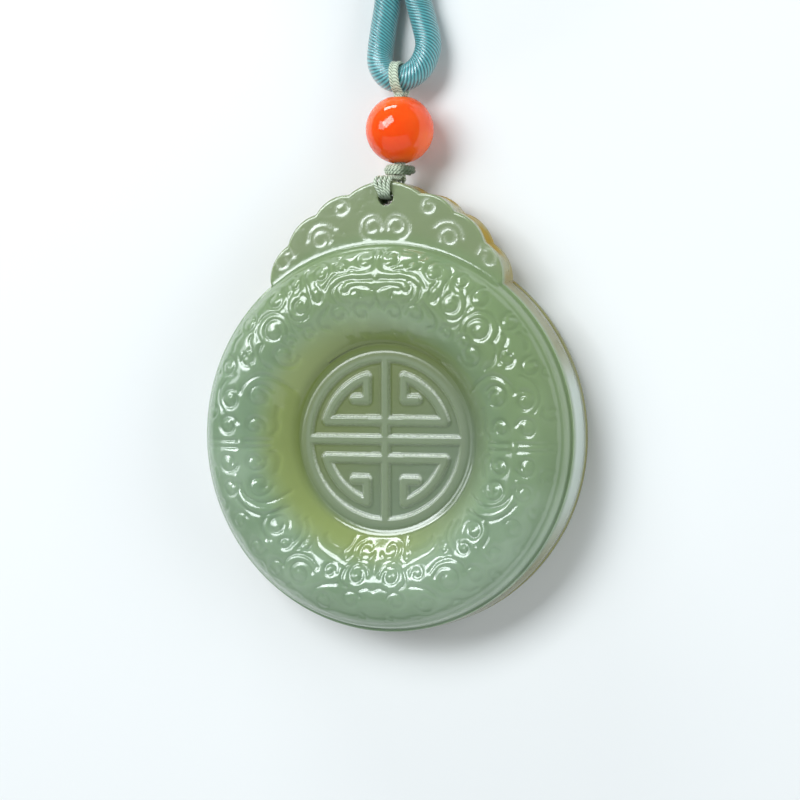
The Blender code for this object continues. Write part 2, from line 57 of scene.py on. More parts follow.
# Disc, as in the solid
DISC_RADIUS = 22.75 * MM
FACE_HEIGHT = 6.8 * MM
RING_RISE = 3.8 * MM
CROWN_RADIUS = 17.3 * MM
SUNK_RADIUS = 11.2 * MM
INNER_SLOPE_POWER = 1.8
OUTER_SLOPE_POWER = 2.6
OUTER_SLOPE_ROUND = 0.6
SIDE_BULGE = 0.18 * MM
BACK_ROUND = 1.2 * MM

# Medallion, as in the solid, with the slope of its strokes' walls and the fine line round it
MEDALLION_DROP = 0.4 * MM
STROKE_HEIGHT = 0.4 * MM
STROKE_TOP = 0.62 * MM
STROKE_WALL = 0.42 * MM
BAR_SPACING = 2.2 * MM
BAR_HALF_LENGTH = 7.0 * MM
FRAME_RADIUS = 9.9 * MM
FRAME_WIDER = 0.25 * MM
FRAME_FADE = 0.3 * MM
HOOK_RADIUS = 7.65 * MM
HOOK_FROM_STEM = 2.3 * MM
HOOK_FOOT_HEIGHT = 4.7 * MM
HOOK_FOOT_LENGTH = 1.6 * MM
FRAME_LINE_RADIUS = 10.45 * MM
FRAME_LINE_WIDTH = 0.12 * MM
FRAME_LINE_DEPTH = 0.06 * MM

# The ring's outer foot and the narrow ledge outside it, the cut line inside the foot with the low lip
# beside it, the cove between crest and ring, and the round at the hollow's foot
RING_FOOT = 22.4 * MM
LEDGE_EDGE = 0.1 * MM
LEDGE_START = DISC_RADIUS - LEDGE_EDGE
BORDER_RADIUS = 21.75 * MM
BORDER_WIDTH = 0.15 * MM
BORDER_DEPTH = 0.14 * MM
LIP_OUTSIDE = 0.42 * MM
LIP_WIDTH = 0.16 * MM
LIP_SHARE = 0.5
COVE_HEIGHT = 0.12 * MM
COVE_REACH = 0.16 * MM
FOOT_HEIGHT = 0.07 * MM
FOOT_REACH = 0.35 * MM

# The carving fades beside the hollow and the border, leans aside by a share of its height, and is
# worn away on the lower half's rim
HOLLOW_MARGIN = 0.1 * MM
CARVING_FADE = 0.8 * MM
BORDER_FADE = 0.4 * MM
MEDALLION_FADE = 0.9 * MM
PATTERN_LEAN = 0.0105
WEAR_START, WEAR_REACH = 17.5 * MM, 3.0 * MM
WEAR_TOP, WEAR_FADE = 9.0 * MM, 12.0 * MM
WEAR_SHARE = 0.55

# Crest, as in the solid
CREST_HEIGHT = 7.0 * MM
CREST_THICKNESS = 4.3 * MM
CREST_STEP = 0.2 * MM
CREST_EDGE = 0.3 * MM
CREST_STEP_REACH = 0.5 * MM
CREST_CARVING_FADE = 0.4 * MM
CREST_NOTCHES = ((8.9, 0.83), (18.2, 0.66), (28.4, 0.39), (38.4, 0.06))
CREST_END = 38.8
LOBE_BULGE = 0.14
CREST_TOP = DISC_RADIUS + CREST_HEIGHT
CREST_FRONT = FACE_HEIGHT + CREST_STEP
CREST_BACK = CREST_FRONT - CREST_THICKNESS
HOLE_RADIUS = 0.95 * MM
HOLE_SIDES = 48
HOLE_PLACE = (0.2 * MM, CREST_TOP - 1.95 * MM)

# Where the tool left the stone rough and paler: a little on every wall of a stroke, and in the crest's
# cut lines. Where a wall tilts towards the crest, the side the light comes from, by the tilt set below,
# it is fully pale: a painted highlight.
FROST_MARGIN = 0.1 * MM
HIGHLIGHT_TILT = 0.45
FROST_LEAST = 0.16
CREST_FROST = 0.3
CREST_FROST_REACH = 0.13 * MM

# How finely the stone's surface is divided: the middle is a square of cells pressed into a circle,
# whose edge has as many points as the ring has columns. The ring's rows lie closer towards the rim.
MIDDLE_CELLS = 176
COLUMNS = 4 * MIDDLE_CELLS
MIDDLE_RADIUS = SUNK_RADIUS - 0.2 * MM
RING_ROWS = 66
RING_ROWS_CLOSER = 0.35
CREST_ROWS = 38
EDGE_STEPS, LOWER_EDGE_STEPS, BACK_STEPS = 7, 4, 6
SIDE_SHARES = (0.35, 0.7)
BACK_SHARE = 0.6

# Thread, knot and bead, as in the solids but for the thread's plies and the knot's turns
THREAD_GAP = 0.12 * MM
LOOP_GAP = 0.3 * MM
SOLID_STRAND = 0.28 * MM
STRANDS_APART = 0.72 * MM
KNOT_RADIUS = 1.85 * MM
KNOT_LENGTH = 1.2 * MM
BEAD_RADIUS = 4.0 * MM
BEAD_OFFSET = 0.9 * MM
BEAD_MOUTH_RADIUS = 1.5 * MM
THREAD_HOLE_RADIUS = math.hypot(STRANDS_APART / 2, STRANDS_APART / 2) + SOLID_STRAND + THREAD_GAP
PLIES = 3
STRAND_SIDES, STRAND_SWELL, STRAND_STEP = 12, 0.16, 0.11 * MM
STRAND_MEAN = 0.92
# Each strand's place across in the bead and on the crest, and how far its loop stands off the cord
STRAND_PLACES = ((-0.36, -0.95, -0.18), (-0.12, -0.36, -0.26), (0.12, 0.18, -0.26), (0.36, 0.70, -0.18))
STRAND_LOOP_DEGREES = (150, 115, 80, 45, 10, -25, -60, -95, -130, -158)
KNOT_TURNS, KNOT_POINTS = 2.6, 520
# How much darker the knot's right side is: painted shade
KNOT_SHADE_SHARE = 0.95
KNOT_STRAND_SIDES, KNOT_STRAND_SWELL, KNOT_STRAND_SHARE = 14, 0.1, 0.62
BEAD_STEPS, BEAD_SIDES = 60, 96
BEAD_MOUTH_DEPTH = 1.4
BEAD_SHARP_DEGREES = 40.0
OVER_CREST = CREST_TOP + THREAD_GAP + SOLID_STRAND
KNOT_START = OVER_CREST + SOLID_STRAND + THREAD_GAP
BEAD_START = KNOT_START + KNOT_LENGTH + THREAD_GAP
BEAD_END = BEAD_START + 2 * BEAD_RADIUS

# Neck cord, as in the solids. Each point of the eye has its place across and along in metres, and
# its share of the lift over the bead.
CORD_DIAMETER = 3.1 * MM
CORD_RADIUS = CORD_DIAMETER / 2
CORD_PITCH = 3.2 * MM
EYE_OFFSET = 0.35 * MM
EYE_BOTTOM = (EYE_OFFSET, BEAD_END + 0.4 * MM + CORD_RADIUS, BEAD_RADIUS - 0.6 * MM)
EYE_POINTS = (
    (0.00200, 0.0094, 0.00), (0.00275, 0.0068, 0.03), (0.00337, 0.0040, 0.20), (0.00276, 0.0016, 0.60),
    (0.00136, 0.0003, 0.92), (0.0, 0.0, 1.0), (-0.00134, 0.0006, 0.85), (-0.00235, 0.0020, 0.55),
    (-0.00258, 0.0036, 0.25), (-0.00235, 0.0062, 0.05), (-0.00185, 0.0094, 0.00),
)
LOOP_RADIUS = CORD_RADIUS + LOOP_GAP + SOLID_STRAND
ARMS_APART = 3.5 * MM
ARMS_END = EYE_BOTTOM[1] + 11.5 * MM
ENTRY_BEND = 7.0 * MM
COIL_OUTER_TURN = 22.2 * MM
COIL_TURNS = 2.5
COIL_INNER_TURN = COIL_OUTER_TURN - COIL_TURNS * CORD_PITCH
COIL_TAIL_DEGREES = 105.0
COIL_TAIL_RADIUS = 4.2 * MM
END_KNOT_WALL = 0.5 * MM
CORD_SIDES, CORD_STEP = 28, 0.5 * MM
# The end knot's heading in degrees, and the length in which a wave texture of scale 1 repeats
KNOT_HEADING = -93.0
WAVE_PERIOD = math.pi / 10

# Camera: it looks down on the face, leaning a little to the right and up, from 260 mm
CAMERA_LEAN_RIGHT = 19.82
CAMERA_LEAN_UP = 1.34
CAMERA_ROLL = -0.08
CAMERA_DISTANCE = 260.0 * MM
CAMERA_ASIDE = 1.7725 * MM
CAMERA_ABOVE = 4.2755 * MM
CAMERA_LENS = 100.49
CAMERA_SENSOR = 36.0

# Soft lights that face the pendant: name, name of its power setting, place and size in metres
LIGHTS = (
    ("Window", "window", (-0.170, 0.215, 0.419), (0.32, 0.20)),
    ("Left window", "left_window", (-0.34, 0.12, 0.36), (0.2, 0.2)),
    ("Low window", "low_window", (-0.16, 0.47, 0.105), (0.26, 0.09)),
    ("Table side fill", "fill", (0.0, -0.45, 0.35), (1.2, 0.6)),
    ("Right fill", "right_fill", (0.42, 0.02, 0.2), (0.5, 0.3)),
)
UNREFLECTED_LIGHT = "Right fill"
LIGHT_COLOUR = "#F4FAFF"
ROOM_COLOUR = "#EEF5F8"
FLOOR_HALF = 0.9

# The carving's curls, right half, mirrored to the left: millimetres from the disc's middle, radius,
# the angle at which the cut line starts, the way it winds in and its turns. A curl winds in by
# CURL_WIND for each of these turns, and has lost CURL_SHRINK of its radius at its eye.
CURLS = (
    (1.6, 20.6, 1.35, 110, 1, 1.35), (7.0, 18.95, 1.25, 60, 1, 1.3), (9.25, 15.25, 1.2, 100, 1, 1.35),
    (10.25, 17.8, 0.85, 80, 1, 1.2), (12.7, 15.9, 1.3, 60, 1, 1.3), (12.5, 12.3, 1.6, 190, -1, 1.4),
    (10.7, 11.0, 0.8, 150, -1, 1.1), (11.4, 9.5, 1.5, 190, 1, 1.4), (16.1, 13.2, 1.2, 90, 1, 1.3),
    (16.0, 9.1, 1.05, 110, 1, 1.2), (18.6, 8.2, 1.2, 100, 1, 1.3), (1.95, 14.4, 1.1, 160, -1, 1.2),
    (4.6, 14.2, 1.15, 170, -1, 1.2), (8.4, 11.9, 0.75, 150, -1, 1.1), (14.5, 4.7, 1.5, 150, -1, 1.4),
    (18.0, 4.3, 1.25, 110, -1, 1.3), (15.1, 1.2, 1.15, 200, -1, 1.3), (18.3, 1.2, 1.25, 160, -1, 1.3),
    (20.9, 2.9, 1.0, 150, 1, 1.2), (15.0, -3.0, 1.15, 160, 1, 1.3), (18.3, -3.0, 1.25, 200, 1, 1.3),
    (20.7, -4.3, 1.0, 210, -1, 1.2), (14.4, -5.7, 1.4, 190, 1, 1.4), (18.0, -6.0, 1.15, 150, 1, 1.3),
    (12.0, -10.4, 1.25, 200, -1, 1.4), (11.0, -12.3, 0.85, 150, 1, 1.2), (9.1, -16.0, 1.65, 170, -1, 1.4),
    (8.4, -12.6, 0.8, 160, -1, 1.2), (1.45, -13.1, 1.1, 205, 1, 1.1), (2.0, -15.9, 1.3, 185, -1, 1.4),
    (5.35, -15.4, 0.9, 190, -1, 1.2), (2.8, -18.8, 1.2, 160, -1, 1.3), (6.3, -18.9, 1.2, 200, 1, 1.3),
    (1.8, -21.1, 0.75, 100, 1, 1.2), (12.2, -15.5, 1.2, 160, -1, 1.3), (14.6, -12.9, 1.15, 200, 1, 1.3),
    (16.8, -10.0, 1.15, 150, -1, 1.3), (9.9, -19.0, 1.0, 200, 1, 1.2), (19.4, -8.2, 1.0, 160, 1, 1.2),
    (5.2, -21.1, 0.8, 160, 1, 1.2), (14.6, -15.6, 0.8, 120, 1, 1.2), (17.6, -12.6, 0.8, 120, 1, 1.2),
    (13.9, 17.1, 0.7, 100, 1, 1.1), (17.9, 12.4, 0.6, 100, 1, 1.1), (20.3, 7.6, 0.7, 100, 1, 1.1),
    (5.2, 21.0, 0.7, 120, 1, 1.1), (8.4, 20.0, 0.6, 120, 1, 1.1),
)
# Cut lines that part the bands between the curls, right half, in millimetres from the middle
CUTS = (
    ((0.38, 22.0), (0.36, 20.8), (0.42, 19.9), (0.9, 19.4), (2.0, 19.2), (3.1, 19.35), (3.55, 19.1),
     (4.3, 18.95), (5.1, 18.75), (5.7, 18.1), (6.2, 17.2)),
    ((0.2, 18.45), (1.0, 18.34), (2.1, 18.3), (3.2, 18.3), (4.1, 18.1), (4.9, 17.5), (5.5, 16.8)),
    ((0.25, 18.25), (1.2, 18.2), (2.4, 18.16), (3.5, 18.1), (4.3, 17.6), (4.65, 17.0), (4.5, 16.2),
     (3.9, 15.7), (3.3, 15.5)),
    ((0.3, 17.0), (0.9, 17.35), (1.9, 17.5), (3.0, 17.3), (3.3, 16.9), (3.9, 16.75), (4.2, 17.2),
     (3.9, 17.7)),
    ((3.6, 19.5), (4.1, 20.05), (4.9, 20.0), (5.25, 19.5), (4.7, 19.2), (4.0, 19.2)),
    ((0.0, 17.2), (0.0, 16.0), (0.3, 15.4), (0.7, 15.0)),
    ((1.9, 16.3), (2.2, 16.9), (2.9, 16.8)),
    ((5.4, 17.2), (5.3, 16.2), (4.6, 15.4), (3.5, 15.15), (3.2, 14.6)),
    ((7.6, 20.1), (8.5, 19.5), (8.9, 18.6), (8.5, 17.7), (8.2, 16.9), (8.0, 15.6), (8.1, 14.6), (8.6, 13.8),
     (9.6, 13.5), (10.5, 14.0), (10.9, 14.9), (10.8, 16.0), (10.4, 16.8)),
    ((7.4, 17.8), (6.9, 17.1), (6.6, 16.2), (6.9, 15.6), (7.5, 15.8), (7.8, 16.6)),
    ((8.2, 12.9), (9.4, 12.7), (10.3, 13.2), (11.0, 14.1), (11.35, 15.0)),
    ((9.5, 18.4), (9.35, 17.4), (9.8, 16.7)),
    ((11.7, 17.1), (11.1, 16.3), (11.1, 15.4), (11.6, 14.7)),
    ((10.1, 12.2), (10.8, 13.5), (12.0, 14.35), (13.3, 14.3), (14.4, 13.4), (14.8, 12.2), (14.4, 11.2)),
    ((5.8, 15.3), (6.4, 14.5), (7.0, 13.6), (6.9, 12.7), (6.0, 12.5)),
    ((15.3, 11.9), (15.7, 11.2), (15.4, 10.3)),
    ((17.0, 11.9), (17.8, 11.1), (18.0, 10.1)),
    ((14.1, 10.8), (14.5, 9.7), (14.1, 8.6), (13.2, 7.9)),
    ((11.0, 5.4), (12.2, 6.4), (13.5, 7.1), (15.0, 7.0), (16.3, 6.1), (16.8, 5.2)),
    ((17.6, 7.2), (18.7, 6.6), (19.5, 5.5), (19.6, 4.1), (19.0, 3.0)),
    ((13.6, -0.52), (14.8, -0.5), (16.1, -0.5)),
    ((17.3, -0.5), (18.5, -0.5), (20.2, -0.5), (21.6, -0.5)),
    ((13.6, -1.26), (14.8, -1.28), (16.1, -1.28)),
    ((17.3, -1.28), (18.5, -1.28), (20.2, -1.28), (21.6, -1.28)),
    ((12.6, 3.4), (12.9, 2.2), (12.8, 1.0), (13.3, 0.1)),
    ((12.8, -4.4), (12.6, -3.2), (12.8, -2.2), (13.3, -1.8)),
    ((11.2, -6.5), (12.3, -7.3), (13.8, -7.75), (15.3, -7.4), (16.4, -6.5), (16.7, -5.6)),
    ((11.1, -8.3), (12.5, -8.75), (14.3, -9.0), (15.8, -8.5), (17.1, -7.3)),
    ((9.9, -9.5), (9.35, -10.3), (9.3, -11.3), (9.9, -12.3)),
    ((9.0, -9.7), (8.5, -10.7), (8.6, -11.8), (9.4, -13.0)),
    ((13.6, -9.6), (13.9, -10.8), (13.3, -12.0)),
    ((6.9, -15.2), (7.8, -14.1), (9.3, -13.6), (10.6, -14.1), (11.3, -15.1)),
    ((1.8, -11.7), (2.8, -12.4), (3.0, -13.4), (2.3, -14.15), (1.2, -14.3), (0.4, -14.7)),
    ((3.4, -11.7), (3.5, -12.6), (4.15, -13.3), (3.7, -14.2), (3.1, -13.7)),
    ((4.1, -13.1), (5.1, -12.9), (6.1, -12.3), (6.5, -11.5)),
    ((3.5, -14.9), (4.7, -14.3), (6.0, -13.6), (7.1, -12.8), (7.6, -11.8)),
    ((0.3, -15.5), (0.8, -14.55), (2.0, -14.35), (3.2, -14.8), (3.8, -15.7), (3.9, -16.7), (3.2, -17.3)),
    ((0.0, -17.6), (0.8, -17.3), (1.7, -17.6)),
    ((4.5, -16.9), (5.8, -17.0), (7.0, -17.4), (8.0, -18.2)),
    ((10.6, -17.2), (11.6, -17.4), (12.4, -16.9)),
)
# The crest's cut lines, right half
CREST_CURLS = (
    (5.45, 26.7, 0.95, 90, 1, 1.3), (1.5, 24.5, 1.1, 200, -1, 1.2), (7.9, 23.1, 1.2, 200, -1, 1.35),
    (12.7, 20.6, 1.1, 120, -1, 1.2),
)
CREST_CUTS = (
    ((0.0, 24.3), (0.3, 25.1), (1.0, 25.8), (1.9, 25.85), (2.8, 25.2), (3.05, 24.2), (2.6, 23.3),
     (1.9, 23.0)),
    ((6.1, 24.3), (7.0, 24.9), (8.3, 24.9), (9.3, 24.1), (9.6, 22.9)),
    ((11.3, 21.2), (11.8, 22.0)),
)
# Small bosses: millimetres from the middle and radius, then the diamonds on the axes
BOSSES = (
    (1.55, 20.4, 0.55), (6.8, 18.75, 0.5), (9.2, 15.6, 0.4), (10.1, 17.6, 0.3), (12.5, 15.8, 0.45),
    (12.6, 12.3, 0.5), (11.4, 9.7, 0.45), (15.7, 13.3, 0.4), (15.6, 9.6, 0.38), (16.7, 9.5, 0.32),
    (18.7, 8.2, 0.4), (14.6, 4.9, 0.45), (17.9, 4.5, 0.45), (14.9, 1.7, 0.4), (18.1, 1.5, 0.4),
    (14.4, -3.3, 0.35), (18.2, -3.2, 0.4),
    (14.5, -5.5, 0.45), (17.3, -4.8, 0.3), (11.9, -10.4, 0.4), (11.0, -12.4, 0.35), (9.1, -15.9, 0.5),
    (8.3, -12.5, 0.42), (2.0, -15.9, 0.4), (12.6, -12.4, 0.3), (4.4, 19.65, 0.45),
    (3.75, 17.25, 0.4), (7.25, 16.7, 0.6), (2.0, 12.4, 0.75), (3.9, 12.1, 0.75), (15.3, 8.3, 0.35),
)
DIAMONDS = ((0.0, 18.5, 0.5), (0.0, -14.5, 0.6), (16.75, -0.88, 0.55))
DIAMOND_TOP = 1.15
CURL_WIND = 0.78
CURL_SHRINK = 0.55
# A band whose top leans towards the crest, right half: places across with its upper and lower edge
LEANING_BAND = (
    (11.4, -6.9, -7.7), (12.4, -7.35, -8.45), (13.8, -7.7, -8.95), (15.3, -7.35, -8.5), (16.4, -6.6, -7.6),
    (17.0, -5.9, -6.7),
)
LEANING_RISE = 0.24 * MM
LEANING_TAPER = 1.0 * MM
LEANING_END = 0.25


def linear(code):
    """An sRGB hex colour as linear red, green, blue and full alpha."""
    parts = [int(code[i:i + 2], 16) / 255 for i in (1, 3, 5)]
    return [c / 12.92 if c <= 0.04045 else ((c + 0.055) / 1.055) ** 2.4 for c in parts] + [1.0]


def size_property(name, description, default, low, high):
    """A length setting."""
    return bpy.props.FloatProperty(
        name=name, description=description, default=default, min=low, max=high, precision=5, unit="LENGTH")


def share_property(name, description, default, high=1.0):
    """A setting from nothing to a high."""
    return bpy.props.FloatProperty(
        name=name, description=description, default=default, min=0.0, max=high, subtype="FACTOR")


def power_property(name, description, default):
    """A light's power."""
    return bpy.props.FloatProperty(
        name=name, description=description, default=default, min=0.0, max=50.0, unit="POWER")


def colour_property(name, description, code):
    """A colour setting, its default as sRGB hex."""
    return bpy.props.FloatVectorProperty(
        name=name, description=description, default=linear(code), size=4, min=0.0, max=1.0, subtype="COLOR")


class JadeSettings(bpy.types.PropertyGroup):
    """Sizes of the carving and colours of the stone."""

    cut_depth: size_property("Cut depth", "Depth of the carving's cut lines", 0.22 * MM, 0.0, 0.001)
    cut_width: size_property(
        "Cut width", "Distance in which a cut rises to the band beside it", 0.18 * MM, 0.0001, 0.001)
    boss_height: size_property(
        "Boss height", "Height of the bosses in the eyes of the curls", 0.09 * MM, 0.0, 0.001)
    crest_depth: size_property("Crest cut depth", "Depth of the crest's cut lines", 0.055 * MM, 0.0, 0.001)
    crest_width: size_property(
        "Crest cut width", "Distance in which a crest cut rises", 0.11 * MM, 0.0001, 0.001)
    body_colour: colour_property("Body", "Colour of the thick ring", "#7F9678")
    cloud_colour: colour_property("Cloud", "Colour of the paler clouds in the stone", "#91A68B")
    olive_colour: colour_property("Olive", "Colour of the ring below the crest and on its right", "#7B8F60")
    # The thin middle's olive: its own colour with painted light coming through the thin stone
    sunk_and_glow_colour: colour_property("Sunk middle", "Colour of the thin stone in the middle", "#66743B")
    grey_colour: colour_property("Grey middle", "Colour of the middle towards its lower right", "#6E7F62")
    stroke_colour: colour_property("Strokes", "Colour of the middle's raised strokes", "#7A886A")
    wall_colour: colour_property("Thin wall", "Colour where light comes through the hollow's wall", "#92A060")
    crest_colour: colour_property("Crest", "Colour of the thin crest", "#82906A")
    # The side's pale is a painted reflection of the pale floor in its polish
    side_with_painted_reflection: colour_property("Side", "Colour of the disc's pale side", "#BFCBC0")
    back_colour: colour_property("Back edge", "Colour of the edge between side and back", "#77763A")
    # The crest edge's amber is a painted glow of light coming through the thin stone
    edge_glow_colour: colour_property("Crest edge", "Colour of the crest's thin back edge", "#A3841A")
    # Pale of the strokes' rough walls, also used as the painted highlight on walls that face the crest
    frost_and_highlight_colour: colour_property("Frost", "Colour of the strokes' rough walls", "#E6ECDE")
    polish: share_property("Polish", "Roughness of the polished stone", 0.13)
    ground: share_property("Ground", "Roughness of the stone between the strokes of the middle", 0.36)


class ThreadSettings(bpy.types.PropertyGroup):
    """Sizes and colours of the thread and its knot."""

    strand: size_property("Strand", "Thickness of one strand", 0.46 * MM, 0.0001, 0.001)
    twist: size_property("Twist", "Length in which a ply turns once", 1.15 * MM, 0.0005, 0.01)
    pale: colour_property("Pale", "Colour of the thread in the light", "#CAD7BE")
    # Dark: painted shade in the thread's folds, on the knot's shaded side and inside the hole
    dark: colour_property("Dark", "Colour of the thread's folds and the knot's shaded side", "#3F5238")


class BeadSettings(bpy.types.PropertyGroup):
    """Colours of the bead."""

    body: colour_property("Body", "Colour of the bead", "#F24E0E")
    cloud: colour_property("Cloud", "Colour of the clearer clouds in the bead", "#FA6A20")


class CordSettings(bpy.types.PropertyGroup):
    """Sizes and colours of the neck cord."""

    length: size_property("Length", "Real length of the whole neck cord", 0.66, 0.3, 1.2)
    wrap: size_property(
        "Wrap", "Distance from one turn of the wrapping thread to the next", 0.40 * MM, 0.0001, 0.002)
    lean: bpy.props.FloatProperty(
        name="Lean", description="Turns of the wrapping thread that one circle round the cord crosses",
        default=-14.0, min=-30.0, max=30.0)
    pale: colour_property("Pale", "Colour of the wrapping thread in the light", "#52AEB2")
    # Dark: painted shade between the turns of the wrapping thread
    dark: colour_property("Dark", "Colour between two turns of the wrapping thread", "#145E66")


class StageSettings(bpy.types.PropertyGroup):
    """Floor and lights."""

    floor: colour_property("Floor", "Colour of the plain floor", "#EBECEA")
    window: power_property("Window", "Power of the soft light over the crest", 1.95)
    left_window: power_property("Left window", "Power of the soft light on the left", 0.5)
    low_window: power_property("Low window", "Power of the soft strip of light beyond the crest", 0.85)
    fill: power_property("Fill", "Power of the wide soft light on the camera's side", 1.2)
    right_fill: power_property("Right fill", "Power of the soft light on the right", 1.25)
    room: share_property("Room", "Strength of the even light all round", 0.13, 2.0)


def node(tree, kind, inputs=None, **settings):
    """Add a node. Its settings are properties, and its inputs are numbers or other nodes' sockets."""
    made = tree.nodes.new(kind)
    for name, value in settings.items():
        setattr(made, name, value)
    for name, value in (inputs or {}).items():
        if isinstance(value, bpy.types.NodeSocket):
            tree.links.new(value, made.inputs[name])
        else:
            made.inputs[name].default_value = value
    return made


def new_material(name, **values):
    """A material with its shader, whose uniform values are given by socket name, with _ for a space."""
    made = bpy.data.materials.new(name)
    made.use_nodes = True
    shader = made.node_tree.nodes["Principled BSDF"]
    for socket, value in values.items():
        shader.inputs[socket.replace("_", " ")].default_value = value
    return made, made.node_tree, shader


def mixed(tree, factor, first, second):
    """Colour from first to second as the factor goes from 0 to 1."""
    made = node(tree, "ShaderNodeMix", {0: factor, 6: first, 7: second}, data_type="RGBA")
    return made.outputs[2]


def ramp(tree, value, low, high, start=0.0, end=1.0):
    """A number that goes from start to end, eased, as the value goes from low to high."""
    made = node(tree, "ShaderNodeMapRange", {0: value, 1: low, 2: high, 3: start, 4: end},
                interpolation_type="SMOOTHSTEP")
    return made.outputs[0]


def joined(tree, first, second, operation="MULTIPLY"):
    """Two numbers multiplied, or put together by another operation."""
    return node(tree, "ShaderNodeMath", {0: first, 1: second}, operation=operation).outputs[0]


def along_direction(tree, place, direction):
    """How far a place lies in a direction."""
    made = node(tree, "ShaderNodeVectorMath", {0: place, 1: direction}, operation="DOT_PRODUCT")
    return made.outputs["Value"]


def noise(tree, place, scale, detail):
    """Soft noise whose grains are one over the scale in size."""
    return node(tree, "ShaderNodeTexNoise", {"Vector": place, "Scale": scale, "Detail": detail}).outputs[0]


def bumped(tree, height, strength, distance):
    """A normal tilted by a height."""
    made = node(tree, "ShaderNodeBump", {"Height": height, "Strength": strength, "Distance": distance})
    return made.outputs[0]


def feed(tree, shader, **sockets):
    """Link nodes to the shader's sockets, named with _ for a space."""
    for socket, value in sockets.items():
        tree.links.new(value, shader.inputs[socket.replace("_", " ")])


def piece(name, points, faces, material, uv=None):
    """A mesh of four-cornered faces, its doubled points merged, shaded smooth. uv holds a pair for
    each corner of each face."""
    mesh = bpy.data.meshes.new(name)
    mesh.vertices.add(len(points))
    mesh.vertices.foreach_set("co", points.ravel())
    mesh.loops.add(faces.size)
    mesh.loops.foreach_set("vertex_index", faces.ravel())
    mesh.polygons.add(len(faces))
    mesh.polygons.foreach_set("loop_start", np.arange(0, faces.size, 4))
    mesh.update(calc_edges=True)
    if uv is not None:
        mesh.uv_layers.new(name="length").data.foreach_set("uv", uv.ravel())
    shape = bmesh.new()
    shape.from_mesh(mesh)
    bmesh.ops.remove_doubles(shape, verts=shape.verts, dist=0.5e-6)
    bmesh.ops.recalc_face_normals(shape, faces=shape.faces)
    shape.to_mesh(mesh)
    shape.free()
    mesh.shade_smooth()
    mesh.materials.append(material)
    made = bpy.data.objects.new(name, mesh)
    bpy.context.scene.collection.objects.link(made)
    return made


def grid_faces(rows, columns, closed=True):
    """Corner numbers of the faces between rows of points; closed joins each row's ends."""
    across = columns if closed else columns - 1
    row, column = np.meshgrid(np.arange(rows - 1), np.arange(across), indexing="ij")
    after = (column + 1) % columns
    corners = np.stack([row * columns + column, row * columns + after,
                        (row + 1) * columns + after, (row + 1) * columns + column], axis=-1)
    return corners.reshape(-1, 4)


def ease(share):
    """Shares held from 0 to 1 and eased at both ends: three squares less two cubes."""
    held = np.clip(share, 0, 1)
    return held * held * (3 - 2 * held)


def smooth(points, step):
    """Points at an even step along the curve through the given ones, each stretch the cubic whose
    ends head along their neighbours."""
    knots = np.array(points, float)
    knots = np.vstack([2 * knots[0] - knots[1], knots, 2 * knots[-1] - knots[-2]])
    t = np.linspace(0, 1, 24, endpoint=False)[None, :, None]
    a, b, c, d = (knots[k:len(knots) - 3 + k][:, None, :] for k in range(4))
    line = 0.5 * (2 * b + (c - a) * t + (2 * a - 5 * b + 4 * c - d) * t**2 + (3 * b - a - 3 * c + d) * t**3)
    line = np.vstack([line.reshape(-1, knots.shape[1]), knots[-2]])
    along = np.concatenate([[0], np.cumsum(np.linalg.norm(np.diff(line, axis=0), axis=1))])
    stops = np.linspace(0, along[-1], max(2, int(round(along[-1] / step))) + 1)
    return np.stack([np.interp(stops, along, line[:, k]) for k in range(line.shape[1])], axis=1)


def distance_to_line(x, y, line):
    """Distance of each place to a line of points: the foot of the square from the place onto each
    stretch is held inside the stretch."""
    start, run = line[:-1], np.diff(line, axis=0)
    length = np.maximum(np.linalg.norm(run, axis=1), 1e-9)
    dx, dy = x[:, None] - start[:, 0], y[:, None] - start[:, 1]
    foot = np.clip((dx * run[:, 0] + dy * run[:, 1]) / length**2, 0, 1)
    return np.hypot(dx - foot * run[:, 0], dy - foot * run[:, 1]).min(axis=1)


def near(x, y, line, margin):
    """Which places lie in the line's own box, widened by a margin."""
    low, high = line.min(axis=0) - margin, line.max(axis=0) + margin
    return (x > low[0]) & (x < high[0]) & (y > low[1]) & (y < high[1])


def bell(away, width):
    """One at no distance, falling off as a bell of this width."""
    return np.exp(-((away / width) ** 2))


def spiral(x, y, radius, start, way, turns):
    """A curl's cut line: its radius shrinks evenly to an eye while it winds in."""
    share = np.linspace(0, 1, 36)
    angle = math.radians(start) + way * 2 * math.pi * CURL_WIND * turns * share
    reach = radius * (1 - CURL_SHRINK * share)
    return np.stack([x + reach * np.cos(angle), y + reach * np.sin(angle)], axis=1) * MM


def ring_surface(radius):
    """Height of the ring's face: a long slope up from the sunk middle to the crown, one less a power
    of the share, and a round shoulder from there down to the foot."""
    inward = np.clip((CROWN_RADIUS - radius) / (CROWN_RADIUS - SUNK_RADIUS), 0, 1)
    outward = np.clip((radius - CROWN_RADIUS) / (RING_FOOT - CROWN_RADIUS), 0, 1)
    inner = 1 - inward**INNER_SLOPE_POWER
    outer = (1 - outward**OUTER_SLOPE_POWER) ** OUTER_SLOPE_ROUND
    return FACE_HEIGHT + RING_RISE * np.where(radius <= CROWN_RADIUS, inner, outer)


